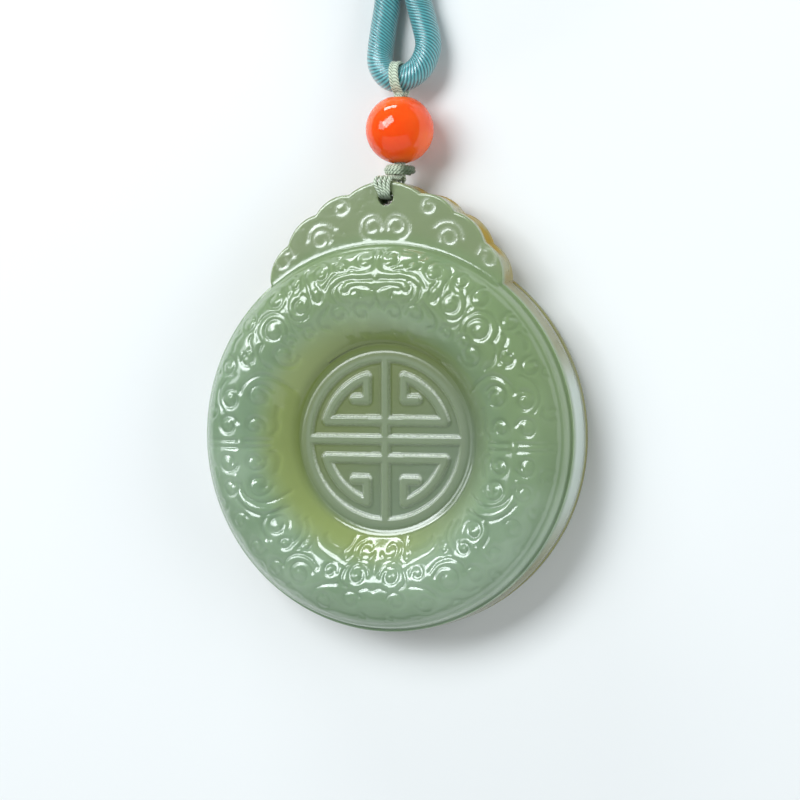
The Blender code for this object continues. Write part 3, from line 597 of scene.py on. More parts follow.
def medallion_share(x, y):
    """Height of the medallion over its ground as a share: one within half a top's width of any
    stroke's middle line, easing down across the wall beside it."""
    lines = [np.array([(0.0, -FRAME_RADIUS), (0.0, FRAME_RADIUS)])]
    for row in (-1, 0, 1):
        half = FRAME_RADIUS if row == 0 else BAR_HALF_LENGTH
        lines.append(np.array([(0.0, row * BAR_SPACING), (half, row * BAR_SPACING)]))
    start = math.asin(BAR_SPACING / HOOK_RADIUS)
    end = math.acos(HOOK_FROM_STEM / HOOK_RADIUS)
    angle = np.linspace(start, end, 24)
    arc = HOOK_RADIUS * np.stack([np.cos(angle), np.sin(angle)], axis=1)
    foot = [(HOOK_FROM_STEM, HOOK_FOOT_HEIGHT), (HOOK_FROM_STEM + HOOK_FOOT_LENGTH, HOOK_FOOT_HEIGHT)]
    hook = np.vstack([arc, foot])
    lines += [hook, hook * (1, -1)]
    away = np.abs(np.hypot(x, y) - FRAME_RADIUS) - FRAME_WIDER
    for line in lines:
        away = np.minimum(away, distance_to_line(np.abs(x), y, line))
    return ease((STROKE_TOP / 2 + STROKE_WALL - away) / STROKE_WALL)


def cut_depth(x, y, curls, cuts, reach):
    """Depth of the cut lines as a share: a rounded V that falls off as one over e to the distance from
    the nearest line, so that the stone between two lines is left as a low round band."""
    nearest = np.full_like(x, 1.0)
    lines = [spiral(*curl) for curl in curls] + [smooth(np.array(cut) * MM, 0.2 * MM) for cut in cuts]
    for line in lines:
        chosen = near(x, y, line, 5 * reach)
        away = distance_to_line(x[chosen], y[chosen], line)
        nearest[chosen] = np.minimum(nearest[chosen], away)
    round_bottom = 0.3 * reach
    away = np.hypot(nearest, round_bottom) - round_bottom
    return np.exp(-away / reach)


def carving_relief(x, y, depth, reach, boss_height):
    """Height of the ring's carving: cut lines and the bosses in the eyes of the curls, worn away
    towards the rim of the lower half, and one band whose top leans."""
    x = np.abs(x - PATTERN_LEAN * y)
    cut = cut_depth(x, y, CURLS, CUTS, reach)
    worn = ease((np.hypot(x, y) - WEAR_START) / WEAR_REACH) * ease((WEAR_TOP - y) / WEAR_FADE)
    raised = np.zeros_like(x)
    for place_x, place_y, radius in BOSSES:
        away = np.hypot(x - place_x * MM, y - place_y * MM) / (radius * MM)
        raised = np.maximum(raised, np.clip(1 - away**2, 0, 1))
    for place_x, place_y, radius in DIAMONDS:
        away = (np.abs(x - place_x * MM) + np.abs(y - place_y * MM)) / (radius * MM)
        raised = np.maximum(raised, np.clip(DIAMOND_TOP - away, 0, 1))
    across, upper, lower = smooth(np.array(LEANING_BAND) * MM, 0.2 * MM).T
    top, bottom = np.interp(x, across, upper), np.interp(x, across, lower)
    share = (top - y) / (top - bottom)
    taper = ease((x - across[0]) / LEANING_TAPER) * ease((across[-1] - x) / LEANING_TAPER)
    leaning = LEANING_RISE * taper * np.clip(share, 0, 1) * ease((1 + LEANING_END - share) / LEANING_END)
    return (boss_height * raised - depth * cut * (1 - raised)) * (1 - WEAR_SHARE * worn) + leaning


def crest_relief(x, y, depth, reach):
    """Height of the crest's carving, which has only cut lines."""
    cut = cut_depth(np.abs(x.ravel()), y.ravel(), CREST_CURLS, CREST_CUTS, reach)
    return -depth * cut.reshape(x.shape)


def crest_reach(degrees):
    """Distance from the disc's middle to the outline at an angle: the rim's own radius, and over the
    crest the arcs of its lobes, each bulging from one notch to the next."""
    radii = [DISC_RADIUS + share * CREST_HEIGHT for _, share in CREST_NOTCHES]
    angles = [math.radians(a) for a, _ in CREST_NOTCHES]
    right = [(r * math.sin(a), r * math.cos(a)) for r, a in zip(radii, angles)]
    stops = [(-right[0][0], right[0][1]), *right]
    outline = []
    for number, (start, end) in enumerate(zip(stops, stops[1:])):
        start, end = np.array(start), np.array(end)
        chord = end - start
        bulge = (CREST_TOP - right[0][1]) / np.linalg.norm(chord) if number == 0 else LOBE_BULGE
        radius = 0.125 / bulge + bulge / 2
        half = math.asin(0.5 / radius)
        angle = np.linspace(-half, half, 30)[:, None]
        outward = np.array([-chord[1], chord[0]])
        rise = radius * np.cos(angle) - (radius - bulge)
        outline.append(start + (radius * np.sin(angle) + 0.5) * chord + rise * outward)
    outline = np.vstack(outline)
    turn = np.degrees(np.arctan2(outline[:, 0], outline[:, 1]))
    reach = np.linalg.norm(outline, axis=1)
    turn, reach = np.append(turn, CREST_END), np.append(reach, DISC_RADIUS)
    order = np.argsort(turn)
    away = np.abs((degrees + 180) % 360 - 180)
    return np.interp(away, turn[order], reach[order], right=DISC_RADIUS)


def face_height(x, y, settings):
    """Height of the whole carved face: ring and carving, a cut line and a low lip along the rim, and
    the medallion in the middle with the round at the hollow's foot."""
    radius = np.hypot(x, y)
    drop = MEDALLION_DROP * ease((CROWN_RADIUS - radius) / (CROWN_RADIUS - SUNK_RADIUS))
    centred = np.hypot(x, y + drop)
    carved = carving_relief(x, y, settings.cut_depth, settings.cut_width, settings.boss_height)
    fade = ease((centred - SUNK_RADIUS - HOLLOW_MARGIN) / CARVING_FADE)
    fade *= ease((BORDER_RADIUS - radius) / BORDER_FADE)
    border = BORDER_DEPTH * bell(radius - BORDER_RADIUS, BORDER_WIDTH)
    lip = LIP_SHARE * BORDER_DEPTH * bell(radius - BORDER_RADIUS - LIP_OUTSIDE, LIP_WIDTH)
    outside = ease((centred - FRAME_RADIUS) / FRAME_FADE)
    middle = STROKE_HEIGHT * (np.maximum(medallion_share(x, y + MEDALLION_DROP), outside) - 1)
    middle -= FRAME_LINE_DEPTH * bell(centred - FRAME_LINE_RADIUS, FRAME_LINE_WIDTH)
    sunk = ease((SUNK_RADIUS + HOLLOW_MARGIN - centred) / MEDALLION_FADE)
    foot = FOOT_HEIGHT * bell(centred - SUNK_RADIUS, FOOT_REACH)
    return ring_surface(centred) + carved * fade - border + lip + middle * sunk + foot


def crest_ground(radius):
    """Height of the crest's front under its carving, with the cove that rises to the ring."""
    return CREST_FRONT + COVE_HEIGHT * np.exp(-np.maximum(radius - RING_FOOT, 0) / COVE_REACH)


def middle_grid():
    """Places of a square grid pressed into the unit circle: each square ring of cells becomes a
    circle, its corners spread evenly along it."""
    side = np.linspace(-1, 1, MIDDLE_CELLS + 1)
    a, b = np.meshgrid(side, side, indexing="ij")
    wide = np.abs(a) >= np.abs(b)
    safe_a, safe_b = np.where(a == 0, 1, a), np.where(b == 0, 1, b)
    radius = np.where(wide, a, b)
    angle = np.where(wide, math.pi / 4 * b / safe_a, math.pi / 2 - math.pi / 4 * a / safe_b)
    return (radius * np.cos(angle)).ravel(), (radius * np.sin(angle)).ravel()


def quarter(steps):
    """Share of a quarter turn, its cosine and its sine, at even steps."""
    turns = np.linspace(0, 90, steps)
    return [(turn / 90, math.cos(math.radians(turn)), math.sin(math.radians(turn))) for turn in turns]


def outer_rows(reach):
    """Rows of points round the middle, each a radius and a height, over the outline, which lies at
    reach, and back under the stone. The first rows have no height yet, and the last value says how
    many they are."""
    over = reach - DISC_RADIUS
    crest = over > 1e-6
    inset = np.maximum(np.minimum(CREST_EDGE, over), LEDGE_EDGE)
    front = FACE_HEIGHT + (CREST_FRONT - FACE_HEIGHT) * ease(over / CREST_STEP_REACH)
    low = front - inset
    shares = np.linspace(0, 1, RING_ROWS + 1)
    shares = shares + RING_ROWS_CLOSER * shares * (1 - shares)
    rows = [(MIDDLE_RADIUS + share * (LEDGE_START - MIDDLE_RADIUS), 0.0) for share in shares]
    for share in np.linspace(0, 1, CREST_ROWS + 1)[1:]:
        rows.append((LEDGE_START + share * (reach - inset - LEDGE_START), 0.0))
    count = len(rows)
    for _, c, s in quarter(EDGE_STEPS)[1:]:
        rows.append((reach - inset * (1 - s), front - inset * (1 - c)))
    for share in SIDE_SHARES:
        bulge = np.where(crest, 0, SIDE_BULGE * share / SIDE_SHARES[-1])
        rows.append((reach + bulge, low - share * (low - CREST_BACK)))
    for _, c, s in quarter(LOWER_EDGE_STEPS):
        rows.append((reach - inset * (1 - c) + np.where(crest, 0, SIDE_BULGE), CREST_BACK + inset * (1 - s)))
    rows.append((DISC_RADIUS + SIDE_BULGE, CREST_BACK))
    for share, c, s in quarter(BACK_STEPS):
        rows.append((DISC_RADIUS - BACK_ROUND * (1 - c) + SIDE_BULGE * (1 - share), BACK_ROUND * (1 - s)))
    rows += [(BACK_SHARE * DISC_RADIUS, 0.0), (0.0, 0.0)]
    radius, height = (np.array([np.broadcast_to(row[k], reach.shape) for row in rows]) for k in (0, 1))
    return radius, height, count


def jade_surface(settings):
    """The whole stone: the middle's grid, then rows round it for ring, crest, edge, side and back.
    Each column of rows runs out from the middle at one angle, over the outline and back under."""
    x, y = middle_grid()
    middle = np.stack([x * MIDDLE_RADIUS, y * MIDDLE_RADIUS], axis=1)
    angle = 2 * math.pi * np.arange(COLUMNS) / COLUMNS
    reach = crest_reach(90 - np.degrees(angle))
    over = reach - DISC_RADIUS
    crest = over > 1e-6
    radius, height, count = outer_rows(reach)
    ring = RING_ROWS + 1
    ring_x, ring_y = radius * np.cos(angle), radius * np.sin(angle)
    face_x, face_y = np.append(middle[:, 0], ring_x[:ring]), np.append(middle[:, 1], ring_y[:ring])
    top = face_height(face_x, face_y, settings)
    ring_top = top[len(middle):].reshape(ring, COLUMNS)
    step = ease(over / CREST_STEP_REACH)
    ground = crest_ground(radius[:count]) - (CREST_FRONT - FACE_HEIGHT) * (1 - step)
    height[:ring] = np.where(crest, np.maximum(ring_top, ground[:ring]), ring_top)
    relief = crest_relief(ring_x[ring:count], ring_y[ring:count], settings.crest_depth, settings.crest_width)
    inside = ease((reach - radius[ring:count] - CREST_EDGE) / CREST_CARVING_FADE)
    front = FACE_HEIGHT + (CREST_FRONT - FACE_HEIGHT) * step
    height[ring:count] = np.where(crest, ground[ring:] + relief * inside, front)
    outer = np.stack([ring_x, ring_y, height], axis=-1).reshape(-1, 3)
    points = np.vstack([np.column_stack([middle, top[:len(middle)]]), outer])
    cells = grid_faces(MIDDLE_CELLS + 1, MIDDLE_CELLS + 1, closed=False)
    outer_faces = grid_faces(len(radius), COLUMNS)[:, ::-1]
    return points, np.vstack([cells, outer_faces + len(middle)])


def middle_colour(tree, settings, place, radius, body):
    """The body's colour, and in the hollow the thin stone's: olive, its own colour with painted light coming
    through the thin stone, greyer to the lower right, paler on the strokes, and yellower on the wall that
    the light comes through."""
    grey = ramp(tree, along_direction(tree, place, (0.6, -0.8, 0.0)), -6 * MM, 8 * MM)
    # The olive ground is partly painted light coming through the thin middle
    ground = mixed(tree, grey, settings.sunk_and_glow_colour, settings.grey_colour)
    raised = node(tree, "ShaderNodeAttribute", attribute_name="stroke").outputs["Fac"]
    sunk = mixed(tree, raised, ground, settings.stroke_colour)
    middle = mixed(tree, ramp(tree, radius, 14.6 * MM, 10.8 * MM), body, sunk)
    lit = ramp(tree, along_direction(tree, place, (-0.93, -0.37, 0.0)), -11 * MM, 10 * MM, 0.1, 0.9)
    wall = joined(tree, ramp(tree, radius, 10.6 * MM, 12.0 * MM), ramp(tree, radius, 16 * MM, 12.5 * MM))
    return mixed(tree, joined(tree, wall, lit), middle, settings.wall_colour)


def side_with_painted_reflection(tree, settings, parts, radius, face):
    """The face's colour, and on the disc's side a pale painted reflection of the floor, with a tinted edge
    towards the back, the tint all over near the foot and beside the crest."""
    beside = joined(tree, ramp(tree, radius, 22.5 * MM, 22.7 * MM),
                    ramp(tree, parts[2], 6.7 * MM, 5.4 * MM))
    # pale: the painted reflection of the floor on the polished side
    tint, pale = settings.back_colour, settings.side_with_painted_reflection
    by_height = mixed(tree, ramp(tree, parts[2], 1.8 * MM, 3.2 * MM), tint, pale)
    by_place = mixed(tree, ramp(tree, parts[1], -16 * MM, -6 * MM), tint, by_height)
    by_place = mixed(tree, ramp(tree, parts[1], 5 * MM, 11 * MM), by_place, tint)
    return mixed(tree, beside, face, by_place)


def crest_edge_glow_share(tree, place, flat, parts):
    """How strongly a place gets the amber of the crest's thin back edge, a painted glow of light coming
    through the thin stone, in patches, but not in the hole.
    """
    # Patches of the painted glow
    glow_patches = ramp(tree, noise(tree, place, 260.0, 2.0), 0.36, 0.60, 0.35, 1.0)
    below = ramp(tree, parts[2], CREST_FRONT - 0.3 * MM, CREST_FRONT - 1.4 * MM)
    low = joined(tree, below, glow_patches)
    hole = node(tree, "ShaderNodeVectorMath", {0: flat, 1: (*HOLE_PLACE, 0.0)}, operation="DISTANCE")
    off_hole = ramp(tree, hole.outputs["Value"], HOLE_RADIUS + 0.1 * MM, HOLE_RADIUS + 0.5 * MM)
    far_edge = joined(tree, low, ramp(tree, parts[1], 14 * MM, 23 * MM))
    return joined(tree, far_edge, off_hole)


def jade_material(settings):
    """Polished nephrite, ground and buffed by hand. The eye gets a waxy gloss over a milky body, paler
    clouds a few millimetres wide, and a faint orange-peel unevenness that breaks up the reflections.
    Painted light is in its colour: a yellower tint where the stone is thin, for light coming through it, a
    glow on the crest's thin back edge, a highlight on the strokes' walls that face the crest, and a
    reflection of the floor on the pale side."""
    made, tree, shader = new_material(
        "Polished nephrite", IOR=1.61, Coat_Roughness=0.06, Subsurface_Weight=0.3,
        Subsurface_Radius=(1.0, 1.1, 0.7), Subsurface_Scale=0.0018)
    place = node(tree, "ShaderNodeTexCoord").outputs["Object"]
    parts = node(tree, "ShaderNodeSeparateXYZ", {0: place}).outputs
    flat = node(tree, "ShaderNodeCombineXYZ", {0: parts[0], 1: parts[1]}).outputs[0]
    radius = node(tree, "ShaderNodeVectorMath", {0: flat}, operation="LENGTH").outputs["Value"]
    clouds = ramp(tree, noise(tree, place, 90.0, 3.0), 0.42, 0.68)
    milky = mixed(tree, clouds, settings.body_colour, settings.cloud_colour)
    up_right = ramp(tree, along_direction(tree, place, (0.45, 0.9, 0.0)), -6 * MM, 16 * MM, 0.0, 0.75)
    olive = joined(tree, up_right, ramp(tree, radius, 12 * MM, 17 * MM, 0.1, 1.0))
    body = mixed(tree, olive, milky, settings.olive_colour)
    face = middle_colour(tree, settings, place, radius, body)
    sided = side_with_painted_reflection(tree, settings, parts, radius, face)
    crest = joined(tree, ramp(tree, radius, 22.2 * MM, 24.5 * MM), ramp(tree, parts[1], 14 * MM, 17 * MM))
    crested = mixed(tree, crest, sided, settings.crest_colour)
    # The crest's thin back edge: a painted glow of light through it, and a rougher finish
    edge = crest_edge_glow_share(tree, place, flat, parts)
    edged = mixed(tree, edge, crested, settings.edge_glow_colour)
    grains = ramp(tree, noise(tree, place, 5200.0, 1.0), 0.3, 0.6, 0.45, 1.0)
    # The strokes' walls are painted paler: rough stone, and a painted highlight where they face the crest
    frost_and_highlight_wall = node(tree, "ShaderNodeAttribute", attribute_name="frost").outputs["Fac"]
    frost = joined(tree, frost_and_highlight_wall, grains)
    rough = joined(tree, ramp(tree, radius, 11.2 * MM, 10.4 * MM, settings.polish, settings.ground),
                   ramp(tree, edge, 0.0, 1.0, 0.0, 0.4), "ADD")
    feed(tree, shader, Base_Color=mixed(tree, frost, edged, settings.frost_and_highlight_colour), Roughness=rough,
         Coat_Weight=ramp(tree, edge, 0.0, 1.0, 0.4, 0.0),
         Specular_IOR_Level=ramp(tree, edge, 0.0, 1.0, 0.5, 0.1),
         Normal=bumped(tree, noise(tree, place, 1400.0, 2.0), 0.08, 0.2 * MM))
    return made


def drill(stone, place, radius):
    """Cut the round hole through the crest, along Z, and keep the result as the stone's own mesh."""
    shape = bmesh.new()
    bmesh.ops.create_cone(shape, cap_ends=True, segments=HOLE_SIDES, radius1=radius, radius2=radius,
                          depth=3 * CREST_THICKNESS, matrix=Matrix.Translation((*place, CREST_BACK)))
    mesh = bpy.data.meshes.new("drill")
    shape.to_mesh(mesh)
    shape.free()
    cutter = bpy.data.objects.new("drill", mesh)
    bpy.context.scene.collection.objects.link(cutter)
    cut = stone.modifiers.new("Drill", "BOOLEAN")
    cut.operation = "DIFFERENCE"
    cut.object = cutter
    cut.solver = "EXACT"
    graph = bpy.context.evaluated_depsgraph_get()
    result = bpy.data.meshes.new_from_object(stone.evaluated_get(graph))
    stone.modifiers.clear()
    stone.data = result
    bpy.data.objects.remove(cutter, do_unlink=True)


def ride_and_slot(made, slot, *nodes):
    """Let a piece ride on the one body and stand for its nodes, which it hides. The slot it is given is not
    used.
    """
    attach(made, "root")
    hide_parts(*nodes)
    return made


def paint_frost_and_highlight(mesh):
    """Mark how much each point is painted pale, in "frost", and how far it stands up as a stroke of the
    middle, in "stroke". Pale are the crest's cut lines and, at half their height, the strokes' walls, as
    stone left rough by the tool; the walls that face the crest get more, up to full, as a painted highlight."""
    places, normals = np.empty(3 * len(mesh.vertices)), np.empty(3 * len(mesh.vertices))
    mesh.vertices.foreach_get("co", places)
    mesh.vertex_normals.foreach_get("vector", normals)
    x, y, z = places.reshape(-1, 3).T
    from_middle = np.hypot(x, y + MEDALLION_DROP)
    share = medallion_share(x, y + MEDALLION_DROP)
    inside = (from_middle < MIDDLE_RADIUS) & (z > FACE_HEIGHT - 2 * STROKE_HEIGHT)
    within = ease((FRAME_RADIUS + FROST_MARGIN - from_middle) / FRAME_FADE)
    # Walls that face the crest, the side the light comes from, get the full pale: a painted highlight
    towards_crest = np.clip(normals.reshape(-1, 3)[:, 1] / HIGHLIGHT_TILT, 0, 1)
    frost_and_highlight_share = FROST_LEAST + (1 - FROST_LEAST) * towards_crest
    frost = np.where(inside, 4 * share * (1 - share) * frost_and_highlight_share * within, 0.0)
    crest = (np.hypot(x, y) > DISC_RADIUS) & (y > 0.6 * DISC_RADIUS) & (z > CREST_FRONT - 0.15 * MM)
    cut = cut_depth(np.abs(x[crest]), y[crest], CREST_CURLS, CREST_CUTS, CREST_FROST_REACH)
    frost[crest] = CREST_FROST * cut
    stroke = np.where(inside, share * (0.25 + 0.5 * within), 0.0)
    for name, values in (("frost", frost), ("stroke", stroke)):
        mesh.attributes.new(name, "FLOAT", "POINT").data.foreach_set("value", values)


class OBJECT_OT_pendant_jade(bpy.types.Operator):
    """Carve the jade disc with its crest and drill it"""

    bl_idname = "object.pendant_jade"
    bl_label = "Jade"

    def execute(self, context):
        settings = context.scene.pendant_jade
        points, faces = jade_surface(settings)
        stone = piece("carved_jade", points, faces, jade_material(settings))
        drill(stone, HOLE_PLACE, HOLE_RADIUS)
        paint_frost_and_highlight(stone.data)
        ride_and_slot(stone, "jade", "jade_pendant")
        return {"FINISHED"}


def tube(path, radius, sides, across, closed=False, swell=0.0, twist=1.0):
    """Points of a tube: at every point of the path a circle square to it, turned so that it starts
    towards one side. The radius swells once for each ply round the circle, and the swells turn once
    in the twist's length."""
    heading = np.gradient(path, axis=0)
    if closed:
        heading = np.roll(path, -1, axis=0) - np.roll(path, 1, axis=0)
    heading /= np.linalg.norm(heading, axis=1, keepdims=True)
    side = np.cross(heading, across)
    side /= np.linalg.norm(side, axis=1, keepdims=True)
    up = np.cross(side, heading)
    along = np.concatenate([[0], np.cumsum(np.linalg.norm(np.diff(path, axis=0), axis=1))])
    angle = 2 * math.pi * np.arange(sides) / sides
    wave = swell * np.cos(PLIES * angle[None, :] - PLIES * 2 * math.pi * along[:, None] / twist)
    reach = np.broadcast_to(radius, (len(path),))[:, None] * (1 + wave)
    ring = np.cos(angle)[None, :, None] * side[:, None, :] + np.sin(angle)[None, :, None] * up[:, None, :]
    return path[:, None, :] + reach[..., None] * ring, along


def closed_tube(grid):
    """The tube's points and faces with both ends drawn in to a point."""
    ends = [np.repeat(grid[k].mean(axis=0)[None, None, :], grid.shape[1], axis=1) for k in (0, -1)]
    full = np.vstack([ends[0], grid, ends[1]])
    return full.reshape(-1, 3), grid_faces(full.shape[0], full.shape[1])


def thread_route(near_x, spread_x, rise):
    """One passage of the thread: round the cord, through bead and knot, over the crest, through its
    hole and back under it. near_x and spread_x are its place across in the bead and on the crest."""
    low, high = BEAD_RADIUS - STRANDS_APART / 2, BEAD_RADIUS + STRANDS_APART / 2
    front = CREST_FRONT + THREAD_GAP + SOLID_STRAND
    back = CREST_BACK - THREAD_GAP - SOLID_STRAND
    hole_x, hole_y = HOLE_PLACE
    in_hole = spread_x * 0.55
    loop = []
    for degrees in STRAND_LOOP_DEGREES:
        angle = math.radians(degrees)
        x = BEAD_OFFSET + (EYE_OFFSET - BEAD_OFFSET) * (1 + math.cos(angle)) / 2
        loop.append((x + near_x, EYE_BOTTOM[1] + (LOOP_RADIUS + rise) * math.cos(angle),
                     EYE_BOTTOM[2] + (LOOP_RADIUS + rise) * math.sin(angle)))

    def run(z, out, mouth):
        return [
            (BEAD_OFFSET + near_x, BEAD_END - SOLID_STRAND, z),
            (BEAD_OFFSET + near_x, BEAD_START, z),
            (BEAD_OFFSET + near_x, KNOT_START + THREAD_GAP, z),
            (BEAD_OFFSET * 0.6 + spread_x * 0.9, OVER_CREST, z + (out - z) * 0.35),
            (BEAD_OFFSET * 0.2 + spread_x, OVER_CREST, out - (out - z) * 0.15),
            (spread_x, CREST_TOP - SOLID_STRAND, out),
            (hole_x + spread_x * 0.7, hole_y + HOLE_RADIUS * 0.7, out),
            (hole_x + in_hole, hole_y + HOLE_RADIUS * 0.1, out - mouth),
        ]

    behind = run(low, back, -2 * SOLID_STRAND)
    before = run(high, front, 2 * SOLID_STRAND)
    return np.array([*loop, *behind, *reversed(before)])


def thread_material(settings, name, shade_share):
    """Twisted silky cord thread, with painted shade: darker on the right by the share given, inside the
    hole, and in the furrows between the plies. The eye gets bright ply backs with a soft sheen."""
    made, tree, shader = new_material(name, Roughness=0.42, Sheen_Weight=0.3)
    place = node(tree, "ShaderNodeTexCoord").outputs["Object"]
    lie = node(tree, "ShaderNodeUVMap", uv_map="length").outputs[0]
    fibre = noise(tree, place, 2600.0, 3.0)
    # Fibres, lighter where worn, with painted shade in the furrows between the plies
    back = ramp(tree, node(tree, "ShaderNodeSeparateXYZ", {0: lie}).outputs[1], 0.05, 0.6)
    dark, pale = settings.dark, settings.pale
    worn = mixed(tree, ramp(tree, fibre, 0.35, 0.75, 0.0, 0.35), mixed(tree, back, dark, pale), pale)
    across = node(tree, "ShaderNodeSeparateXYZ", {0: place}).outputs
    # Painted shade on the right side and inside the hole
    shade_to_right = ramp(tree, across[0], BEAD_OFFSET, BEAD_OFFSET + 1.3 * MM, 0.0, shade_share)
    in_hole = ramp(tree, across[1], CREST_TOP - 1.1 * MM, CREST_TOP - 1.9 * MM, 0.0, 0.7)
    shadow = joined(tree, shade_to_right, in_hole, "MAXIMUM")
    feed(tree, shader, Base_Color=mixed(tree, shadow, worn, dark), Normal=bumped(tree, fibre, 0.5, 0.06 * MM))
    return made


def ply_uv(along, sides, twist, closed):
    """The faces of a twisted strand, and for each corner of each face its length along, and 1 on a
    ply's back to 0 in a furrow."""
    angle = 2 * math.pi * np.arange(sides) / sides
    height = 0.5 + 0.5 * np.cos(PLIES * angle[None, :] - PLIES * 2 * math.pi * along[:, None] / twist)
    faces = grid_faces(len(along), sides)
    flat = np.stack([np.repeat(along, sides), height.ravel()], axis=1)
    if closed:
        first, last = np.arange(sides), (len(along) - 1) * sides
        after = (first + 1) % sides
        faces = np.vstack([faces, np.stack([last + first, last + after, after, first], axis=1)])
    return faces, flat[faces]


class OBJECT_OT_pendant_thread(bpy.types.Operator):
    """Lead the twisted thread round the cord, through the bead and knot and through the crest"""

    bl_idname = "object.pendant_thread"
    bl_label = "Thread"

    def execute(self, context):
        settings = context.scene.pendant_thread
        points, faces, uvs, count = [], [], [], 0
        for near_x, spread_x, rise in STRAND_PLACES:
            route = thread_route(near_x * MM, spread_x * MM, rise * MM)
            path = smooth(np.vstack([route, route[:1]]), STRAND_STEP)[:-1]
            grid, along = tube(path, settings.strand / 2 * STRAND_MEAN, STRAND_SIDES, (1.0, 0.0, 0.0),
                               True, STRAND_SWELL, settings.twist)
            own, uv = ply_uv(along, STRAND_SIDES, settings.twist, True)
            points.append(grid.reshape(-1, 3))
            faces.append(own + count)
            uvs.append(uv)
            count += len(points[-1])
        paint = thread_material(settings, "Twisted sage thread", 0.0)
        made = piece("twisted_thread", np.vstack(points), np.vstack(faces), paint, np.vstack(uvs))
        ride_and_slot(made, "thread", "hanging_thread_1", "hanging_thread_2")
        return {"FINISHED"}


class OBJECT_OT_pendant_knot(bpy.types.Operator):
    """Wind the knot under the bead"""

    bl_idname = "object.pendant_knot"
    bl_label = "Knot"

    def execute(self, context):
        settings = context.scene.pendant_thread
        share = np.linspace(0, 1, KNOT_POINTS)
        angle = 2 * math.pi * KNOT_TURNS * share
        strand = KNOT_LENGTH / KNOT_TURNS * KNOT_STRAND_SHARE
        inner = THREAD_HOLE_RADIUS + strand
        reach = inner + (KNOT_RADIUS - strand - inner) * np.sin(math.pi * share) ** 0.4
        along_y = KNOT_START + strand * 0.8 + (KNOT_LENGTH - 1.6 * strand) * share
        path = np.stack([BEAD_OFFSET + reach * np.cos(angle), along_y, BEAD_RADIUS + reach * np.sin(angle)],
                        axis=1)
        grid, along = tube(path, strand, KNOT_STRAND_SIDES, (0.0, 1.0, 0.0), False, KNOT_STRAND_SWELL,
                           settings.twist)
        faces, uv = ply_uv(along, KNOT_STRAND_SIDES, settings.twist, False)
        paint = thread_material(settings, "Wound sage knot", KNOT_SHADE_SHARE)
        made = piece("wound_knot", grid.reshape(-1, 3), faces, paint, uv)
        ride_and_slot(made, "thread", "wrapped_knot")
        return {"FINISHED"}


def turned(profile, steps, middle):
    """Points of a shape turned about a line through its middle along Y: each point of the profile is
    a distance from that line and a place along it."""
    angle = 2 * math.pi * np.arange(steps) / steps
    radius, along = profile[:, 0][:, None], profile[:, 1][:, None]
    x = middle[0] + radius * np.cos(angle)
    z = middle[2] + radius * np.sin(angle)
    y = np.broadcast_to(middle[1] + along, x.shape)
    return np.stack([x, y, z], axis=-1)


def bead_material(settings):
    """Carnelian-red glassy bead, tumbled to a high polish. The eye gets a wet gloss and clouds of
    clearer orange inside."""
    made, tree, shader = new_material(
        "Polished carnelian", Roughness=0.07, IOR=1.54, Subsurface_Weight=0.4,
        Subsurface_Radius=(1.0, 0.3, 0.1), Subsurface_Scale=0.002)
    place = node(tree, "ShaderNodeTexCoord").outputs["Object"]
    clouds = ramp(tree, noise(tree, place, 160.0, 2.0), 0.35, 0.7)
    feed(tree, shader, Base_Color=mixed(tree, clouds, settings.body, settings.cloud))
    return made


class OBJECT_OT_pendant_bead(bpy.types.Operator):
    """Turn the drilled bead"""

    bl_idname = "object.pendant_bead"
    bl_label = "Bead"

    def execute(self, context):
        hole = THREAD_HOLE_RADIUS
        start, end = math.asin(BEAD_MOUTH_RADIUS / BEAD_RADIUS), math.pi - math.asin(hole / BEAD_RADIUS)
        angle = np.linspace(start, end, BEAD_STEPS)
        ball = np.stack([BEAD_RADIUS * np.sin(angle), BEAD_RADIUS * np.cos(angle)], axis=1)
        sink = BEAD_RADIUS * math.cos(start) - (BEAD_MOUTH_RADIUS - hole) * BEAD_MOUTH_DEPTH
        wall = np.array([(hole, -BEAD_RADIUS * 0.95), (hole, sink)])
        profile = np.vstack([ball, wall, ball[:1]])
        grid = turned(profile, BEAD_SIDES, (BEAD_OFFSET, BEAD_START + BEAD_RADIUS, BEAD_RADIUS))
        faces = grid_faces(len(profile), BEAD_SIDES)
        made = piece("polished_bead", grid.reshape(-1, 3), faces, bead_material(context.scene.pendant_bead))
        made.data.set_sharp_from_angle(angle=math.radians(BEAD_SHARP_DEGREES))
        ride_and_slot(made, "bead", "bead")
        return {"FINISHED"}


def coil_middle():
    """The coil's middle, and how far the arms turn on their bend before they meet its outer turn."""
    cosine = (ENTRY_BEND - EYE_OFFSET) / (ENTRY_BEND + COIL_OUTER_TURN)
    rise = (ENTRY_BEND + COIL_OUTER_TURN) * math.sqrt(1 - cosine**2)
    return 0.0, ARMS_END + rise, math.acos(cosine)


def arm(side):
    """One arm from the eye to the coil: side by side at first, then one above the other."""
    _, _, turn = coil_middle()
    share = np.linspace(0, 1, 7)[1:]
    reach = ENTRY_BEND + side * ARMS_APART / 2 * np.cos(share * math.pi / 2)
    lift = CORD_PITCH * np.sin(share * math.pi / 2) if side > 0 else 0 * share
    return np.stack([EYE_OFFSET - ENTRY_BEND + reach * np.cos(turn * share),
                     ARMS_END + reach * np.sin(turn * share), CORD_RADIUS + lift], axis=1)


